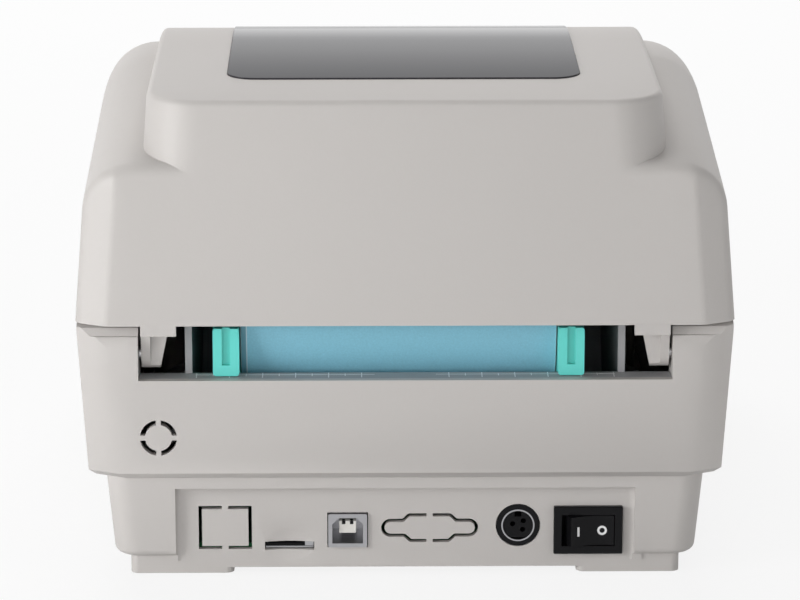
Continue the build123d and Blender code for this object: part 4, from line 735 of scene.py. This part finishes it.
@dataclass
class DressedNode:
    """A node of the model in its finish, with its curved faces shaded smooth."""

    node: str
    finish: bpy.types.Material
    smooth_under: float = 32.0
    weld: float = 0.002 * MM
    flip_across: bool = False

    def build(self) -> bpy.types.Object:
        """Replaces the node by a merged copy with smooth shading.

        Returns:
            The copy.
        """
        source = frame["nodes"][self.node]
        body = source["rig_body"]
        shape = bmesh.new()
        shape.from_mesh(source.data)
        bmesh.ops.remove_doubles(shape, verts=shape.verts, dist=self.weld)
        if self.flip_across:
            self.flip(shape)
        self.shade(shape)
        piece = new_piece(self.node + "_skin", shape, body, self.finish)
        if "custom_normal" in piece.data.attributes:
            piece.data.attributes.remove(piece.data.attributes["custom_normal"])
        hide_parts(self.node)
        return piece

    def flip(self, shape: bmesh.types.BMesh) -> None:
        """Mirrors a shape across the middle of its node's width.

        Args:
            shape: The shape.
        """
        low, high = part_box(self.node)
        middle = Matrix.Translation(((low.x + high.x) / 2, 0, 0))
        mirror = middle @ Matrix.Diagonal((-1, 1, 1, 1)) @ middle.inverted()
        bmesh.ops.transform(shape, matrix=mirror, verts=shape.verts)
        bmesh.ops.reverse_faces(shape, faces=shape.faces)

    def shade(self, shape: bmesh.types.BMesh) -> None:
        """Shades a shape smooth, apart from its sharp edges, and drops its stored normals.

        Args:
            shape: The shape.
        """
        limit = math.radians(self.smooth_under)
        for face in shape.faces:
            face.smooth = True
            face.material_index = 0
        for edge in shape.edges:
            edge.smooth = edge.is_manifold and edge.calc_face_angle() < limit
        for layer in list(shape.loops.layers.float_vector.values()):
            shape.loops.layers.float_vector.remove(layer)


def dress(finish: bpy.types.Material, *nodes: str) -> list[bpy.types.Object]:
    """Dresses several nodes in one finish.

    Args:
        finish: The material.
        nodes: Names of the nodes.

    Returns:
        The dressed pieces.
    """
    return [DressedNode(node, finish).build() for node in nodes]


@dataclass
class Shells:
    """The housing: cover, window, middle and bottom cases, and front bezel."""

    shell: MouldedPlastic = MouldedPlastic("shell_plastic", Paint.SHELL.value)
    window: PolishedPlastic = PolishedPlastic(
        "window_plastic", Paint.WINDOW.value, gloss=0.08, coat=0.2, crown=0.83, crown_from=10 * MM
    )

    def build(self) -> list[bpy.types.Object]:
        """Dresses the shells.

        Returns:
            The dressed pieces.
        """
        pieces = dress(self.shell.material(), "top_cover", "main_case", "base_case", "front_bezel")
        return pieces + dress(self.window.material(), "window")


@dataclass
class MediaBay:
    """The tray, its printed scale, the guides and the loaded roll."""

    line_inner: float = 9.7 * MM
    line_outer: float = 66.4 * MM
    line_width: float = 0.3 * MM
    line_y: float = 117.1 * MM
    first_mark: float = 13.8 * MM
    mark_pitch: float = 10.43 * MM
    mark_count: int = 6
    mark_length: float = 5.4 * MM
    half_mark_length: float = 2.4 * MM
    rearward_share: float = 0.125
    shelf_z: float = 66.2 * MM
    print_height: float = 0.05 * MM

    def build(self) -> list[bpy.types.Object]:
        """Dresses the bay.

        Returns:
            The dressed pieces.
        """
        tray = MouldedPlastic("tray_plastic", Paint.TRAY.value, gloss=0.5)
        guide = MouldedPlastic(
            "guide_plastic", Paint.TURQUOISE.value, gloss=0.34, depth=0.01 * MM, mottle=0.03
        )
        low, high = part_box("label_roll")
        liner = LabelLiner(
            "liner_paper",
            Paint.LINER.value,
            paper=Paint.LABEL.value,
            centre=(low + high) / 2,
            half_width=(high.x - low.x) / 2,
        )
        board = WoundBoard("roll_cardboard", Paint.CARDBOARD.value)
        pieces = dress(tray.material(), "media_tray")
        pieces += dress(guide.material(), "guide_left", "guide_right")
        pieces += dress(liner.material(), "label_roll")
        pieces += dress(board.material(), "roll_core")
        pieces.append(self.printed_scale())
        return pieces

    def printed_scale(self) -> bpy.types.Object:
        """Prints the width scale on the shelf in the rear slot.

        Returns:
            The print.
        """
        shape = bmesh.new()
        height = self.shelf_z + self.print_height / 2
        span = self.line_outer - self.line_inner
        for side in (-1, 1):
            middle = side * (self.line_inner + self.line_outer) / 2
            add_bar(
                shape, (middle, self.line_y, height), (span, self.line_width, self.print_height)
            )
            for index in range(2 * self.mark_count - 1):
                at = side * (self.first_mark + index * self.mark_pitch / 2)
                length = self.half_mark_length if index % 2 else self.mark_length
                rear = self.line_y + length * self.rearward_share
                add_bar(shape, (at, rear, height), (self.line_width, length, self.print_height))
        ink = MouldedPlastic("scale_ink", Paint.PRINT_WHITE.value, gloss=0.6)
        return new_piece("printed_scale", shape, "root", ink.material())


@dataclass
class ConnectorPanel:
    """Sockets and the power switch on the rear panel."""

    rocker_pivot: Vector = Vector((-58.4 * MM, 113.5 * MM, 14.8 * MM))
    rocker_tilt: float = 10.0
    face_radius: float = 19.5 * MM
    face_rise: float = 6.3 * MM
    mark_at: float = 3.9 * MM
    mark_shift: float = 0.55 * MM
    mark_size: float = 1.55 * MM
    mark_line: float = 0.7 * MM
    mark_proud: float = 0.16 * MM
    mark_lift: float = 0.06 * MM
    ring_steps: int = 32
    contact_pitch: float = 2.55 * MM
    contact_size: float = 1.15 * MM
    contact_proud: float = 0.08 * MM
    edge_round: float = 0.12 * MM
    card_place: Vector = Vector((37.0 * MM, 115.8 * MM, 9.5 * MM))
    card_mouth: tuple[float, float] = (15.4 * MM, 2.4 * MM)
    card_depth: float = 0.8 * MM
    card_sheet: float = 0.6 * MM
    card_block: float = 2.8 * MM
    card_set_back: float = 0.15 * MM
    card_clear: float = 0.3 * MM

    def build(self) -> list[bpy.types.Object]:
        """Dresses the sockets and prints the switch's marks.

        Returns:
            The dressed pieces.
        """
        black = MouldedPlastic(
            "black_plastic", Paint.BLACK.value, gloss=0.36, depth=0.01 * MM, shine=0.15
        ).material()
        ivory = MouldedPlastic(
            "white_plastic", Paint.IVORY.value, gloss=0.4, depth=0.01 * MM
        ).material()
        steel = SheetSteel(
            "socket_steel", Paint.SOCKET.value, gloss=0.3, grain_along=(1.0, 0.1, 1.0)
        ).material()
        pieces = dress(black, "switch_body", "rocker", "card_socket", "cover_switch")
        pieces.append(DressedNode("power_inlet_body", black, flip_across=True).build())
        pieces += dress(steel, "usb_shell", "power_inlet_ring")
        pieces += dress(ivory, "usb_tongue", "board_connectors", "feed_button")
        pieces += self.rocker_marks()
        pieces.append(self.usb_slot_shade(black))
        pieces.append(self.card_frame(steel))
        return pieces

    def usb_slot_shade(self, finish: bpy.types.Material) -> bpy.types.Object:
        """Makes two black blocks at the top of the square socket's tongue, painted shade standing in
        for its two shadowed contact slots.

        Args:
            finish: Their material.

        Returns:
            The blocks.
        """
        low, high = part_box("usb_tongue")
        shape = bmesh.new()
        # painted shade: black blocks placed where the tongue's contact slots are dark from their depth
        for side in (-1, 1):
            middle = (
                (low.x + high.x) / 2 + side * self.contact_pitch / 2,
                high.y - self.contact_size + self.contact_proud,
                high.z - self.contact_size / 2,
            )
            add_bar(shape, middle, (self.contact_size, 2 * self.contact_size, self.contact_size))
        round_edges(shape, self.edge_round)
        return new_piece("usb_slot_shade", shape, "root", finish)

    def card_frame(self, finish: bpy.types.Material) -> bpy.types.Object:
        """Makes the sheet and the contact block that show in the mouth of the card socket.

        Args:
            finish: Their material.

        Returns:
            The sheet with its block.
        """
        width, height = self.card_mouth
        middle, rear, level = self.card_place
        sheet_top = level - height / 2 + self.card_sheet
        block_top = level + height / 2 - self.card_clear
        shape = bmesh.new()
        add_bar(
            shape,
            (middle, rear, sheet_top - self.card_sheet / 2),
            (width, self.card_depth, self.card_sheet),
        )
        add_bar(
            shape,
            (
                middle - width / 2 + self.card_block / 2,
                rear - self.card_set_back,
                (sheet_top + block_top) / 2,
            ),
            (self.card_block, self.card_depth, block_top - sheet_top),
        )
        round_edges(shape, self.edge_round)
        return new_piece("card_frame", shape, "root", finish)

    def rocker_marks(self) -> list[bpy.types.Object]:
        """Makes the bar and the ring on the two halves of the rocker.

        Returns:
            The marks.
        """
        ink = MouldedPlastic("mark_ink", Paint.PRINT_WHITE.value, gloss=0.5).material()
        bar = bmesh.new()
        add_bar(bar, (0, 0, 0), (self.mark_line, self.mark_proud, 2 * self.mark_size))
        tilt = Matrix.Rotation(math.radians(self.rocker_tilt), 4, "Z")
        seat = Matrix.Translation(self.rocker_pivot) @ tilt
        pieces = []
        for name, shape, side in (("rocker_bar", bar, 1), ("rocker_ring", self.ring(), -1)):
            reach = self.mark_at + side * self.mark_shift
            slope = math.asin(reach / self.face_radius)
            rise = self.face_rise + self.face_radius * (1 - math.cos(slope)) + self.mark_lift
            local = Matrix.Translation((side * reach, rise, 0)) @ Matrix.Rotation(side * slope, 4, "Z")
            bmesh.ops.transform(shape, matrix=seat @ local, verts=shape.verts)
            pieces.append(new_piece(name, shape, "rocker", ink))
        return pieces

    def ring(self) -> bmesh.types.BMesh:
        """Spins the ring mark round the Y axis.

        Returns:
            The ring.
        """
        shape = bmesh.new()
        outer = self.mark_size
        inner = self.mark_size - self.mark_line
        half = self.mark_proud / 2
        profile = ((outer, -half), (inner, -half), (inner, half), (outer, half))
        verts = [shape.verts.new((x, y, 0.0)) for x, y in profile]
        loop = [shape.edges.new((verts[i - 1], verts[i])) for i in range(len(verts))]
        bmesh.ops.spin(
            shape,
            geom=verts + loop,
            cent=(0, 0, 0),
            axis=(0, 1, 0),
            angle=math.tau,
            steps=self.ring_steps,
            use_merge=True,
        )
        bmesh.ops.recalc_face_normals(shape, faces=shape.faces)
        return shape


@dataclass
class Mechanism:
    """Frames, shafts, gears, motor, head and fasteners inside the housing."""

    spring_top: float = 100 * MM
    spring_squash: float = 0.77

    def build(self) -> list[bpy.types.Object]:
        """Dresses the mechanism and gives the head's springs a mesh of their own.

        Returns:
            The dressed pieces.
        """
        sheet = SheetSteel("plated_sheet", Paint.ZINC.value, gloss=0.36, grain_along=(1.0, 0.08, 1.0))
        turned = SheetSteel("ground_steel", Paint.STEEL.value, gloss=0.24)
        brass = SheetSteel("machined_brass", Paint.BRASS.value, gloss=0.26)
        alloy = SheetSteel("extruded_alloy", Paint.ALUMINIUM.value, gloss=0.34)
        dark = MouldedPlastic("inner_plastic", Paint.DARK_GREY.value, gloss=0.42)
        gear = MouldedPlastic("gear_plastic", Paint.IVORY.value, gloss=0.38, depth=0.01 * MM)
        black = MouldedPlastic(
            "sensor_plastic", Paint.BLACK.value, gloss=0.4, depth=0.01 * MM, shine=0.15
        )
        lacquer = PolishedPlastic("motor_lacquer", Paint.BLACK.value, gloss=0.3, coat=0.1)
        rubber = GroundRubber("ground_rubber", Paint.RUBBER.value)
        resin = BoardResin("board_resin", Paint.BOARD.value)
        glaze = PolishedPlastic("head_glaze", Paint.GLAZE.value, gloss=0.1)
        lamp = PolishedPlastic("lamp_lens", Paint.LAMP.value, gloss=0.12)
        groups = {
            sheet: ("side_frame_left", "side_frame_right", "head_bracket"),
            turned: (
                "hinge_pins", "pinion_post", "sensor_rail", "idler_post", "latch_shaft", "catch_pins",
                "head_pivot", "platen_shaft", "motor_shaft", "tear_bar", "latch_spring", "head_springs",
                "case_screws", "tray_screws", "board_screws", "frame_screws", "liner_screws",
            ),
            brass: ("motor_pinion",),
            alloy: ("print_head", "board_capacitors"),
            dark: ("cover_liner", "release_tabs", "latch_hooks"),
            gear: ("guide_pinion", "idler_gear", "platen_gear", "platen_bushes"),
            black: ("upper_sensor", "sensor_carriage", "processor_chip"),
            lacquer: ("stepper_motor",),
            rubber: ("platen_rubber", "rubber_feet"),
            resin: ("main_board", "button_board"),
            glaze: ("head_ceramic",),
            lamp: ("led_lens",),
        }
        dressed = {}
        for finish, nodes in groups.items():
            dressed.update(zip(nodes, dress(finish.material(), *nodes)))
        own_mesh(dressed["head_springs"])
        return list(dressed.values())


@dataclass(frozen=True)
class Lamp:
    """A soft square lamp, placed in metres; a hidden one shows in no picture or reflection."""

    name: str
    place: Triple
    side: float
    watts: float
    hidden: bool = False
    aim: Triple = (0.0, 0.0, 0.08)

    def hang(self) -> None:
        """Puts the lamp in the scene, pointing at the printer."""
        data = bpy.data.lights.new(self.name, "AREA")
        data.shape = "SQUARE"
        data.size = self.side
        data.energy = self.watts
        lamp = bpy.data.objects.new(self.name, data)
        lamp.location = self.place
        towards = Vector(self.aim) - Vector(self.place)
        lamp.rotation_euler = towards.to_track_quat("-Z", "Y").to_euler()
        if self.hidden:
            lamp.visible_camera = False
            lamp.visible_glossy = False
        bpy.context.scene.collection.objects.link(lamp)


@dataclass
class Studio:
    """A pale floor, soft lamps and the camera behind the printer."""

    lamps: tuple[Lamp, ...] = (
        Lamp("key", (0.85, 0.58, 0.3), 0.5, 6.0),
        Lamp("rear_fill", (0.5, 2.4, 0.4), 1.2, 5.0),
        Lamp("side_fill", (-1.5, 0.6, 0.8), 1.2, 5.0),
        Lamp("rear_low", (0.12, 0.7, 0.08), 0.45, 1.2, hidden=True),
        Lamp("front_top", (0.2, -1.3, 1.6), 1.5, 39.0, hidden=True),
    )
    eye: Vector = Vector((0.0158, 1.2906, 0.4050))
    look_down: float = 15.0
    turn: float = 0.69
    focal_pixels: float = 3860.0
    image_width: float = 800.0
    sensor: float = 36.0
    far: float = 50.0
    world_light: float = 0.2
    mirror_light: float = 0.6
    floor_glow: float = 0.86
    floor_reach: float = 9.0
    floor_tooth: float = 3 * MM
    floor_dark: Colour = (0.66, 0.66, 0.66)
    floor_light: Colour = (0.7, 0.7, 0.7)
    floor_gloss: float = 0.9
    white: Colour = (1.0, 1.0, 1.0)
    grey_sky: Colour = (0.5, 0.5, 0.5)
    white_below: float = 0.2
    grey_above: float = 0.5

    def build(self) -> None:
        """Sets up the floor, the world, the lamps and the camera."""
        self.floor()
        self.world()
        for lamp in self.lamps:
            lamp.hang()
        self.camera()

    def floor(self) -> None:
        """Makes the floor, which looks white to the camera and still takes a shadow."""
        shape = bmesh.new()
        bmesh.ops.create_grid(shape, x_segments=1, y_segments=1, size=self.floor_reach)
        maker = ShaderMaker("floor_paper")
        tooth = maker.noise(self.floor_tooth)
        maker.set(
            Base_Color=maker.blend(tooth, self.floor_dark, self.floor_light),
            Roughness=self.floor_gloss,
        )
        direct, glossy = maker.seen()
        glow = maker.node("ShaderNodeEmission", {}, {"Color": (*self.white, 1.0), "Strength": 1.0})
        mix = maker.node(
            "ShaderNodeMixShader",
            {},
            {
                0: direct * self.floor_glow + glossy * self.mirror_light,
                1: maker.shader.outputs[0],
                2: glow.outputs[0],
            },
        )
        maker.fill(maker.output.inputs["Surface"], mix.outputs[0])
        floor = new_object("floor", shape, maker.material)

    def world(self) -> None:
        """Makes a surround that is white to the camera, graded in reflections and dim as a light."""
        world = bpy.data.worlds.new("studio")
        world.use_nodes = True
        maker = NodeMaker(world.node_tree)
        coords = maker.node("ShaderNodeTexCoord")
        parts = maker.node("ShaderNodeSeparateXYZ", {}, {0: coords.outputs["Generated"]})
        sky = maker.node(
            "ShaderNodeValToRGB",
            {"stops": [(self.white_below, self.white), (self.grey_above, self.grey_sky)]},
            {"Fac": parts.outputs["Z"]},
        )
        direct, glossy = maker.seen()
        mirrored = Value(maker, sky.outputs["Color"])
        strength = self.world_light * (1 - direct - glossy) + direct + glossy * mirrored
        background = maker.node(
            "ShaderNodeBackground", {}, {"Color": (*self.white, 1.0), "Strength": strength}
        )
        output = maker.node("ShaderNodeOutputWorld")
        maker.fill(output.inputs["Surface"], background.outputs[0])
        bpy.context.scene.world = world

    def camera(self) -> None:
        """Places the camera at the photograph's viewpoint."""
        down = math.radians(self.look_down)
        turn = math.radians(self.turn)
        level = math.cos(down)
        aim = Vector((-math.sin(turn) * level, -math.cos(turn) * level, -math.sin(down)))
        data = bpy.data.cameras.new("camera")
        data.sensor_fit = "HORIZONTAL"
        data.sensor_width = self.sensor
        data.lens = self.focal_pixels * self.sensor / self.image_width
        data.clip_end = self.far
        camera = bpy.data.objects.new("camera", data)
        camera.location = self.eye
        camera.rotation_euler = aim.to_track_quat("-Z", "Y").to_euler()
        bpy.context.scene.collection.objects.link(camera)
        bpy.context.scene.camera = camera


def main() -> None:
    """Dresses the printer, sets up the studio and logs each dressed piece."""
    logging.basicConfig(level=logging.INFO, format="%(name)s: %(message)s")
    for assembly in (Shells(), MediaBay(), ConnectorPanel(), Mechanism()):
        for piece in assembly.build():
            LOG.info("%s: %s", type(assembly).__name__, piece.name)
    Studio().build()
    bpy.context.scene.view_settings.view_transform = "Standard"


if __name__ == "__main__":
    main()
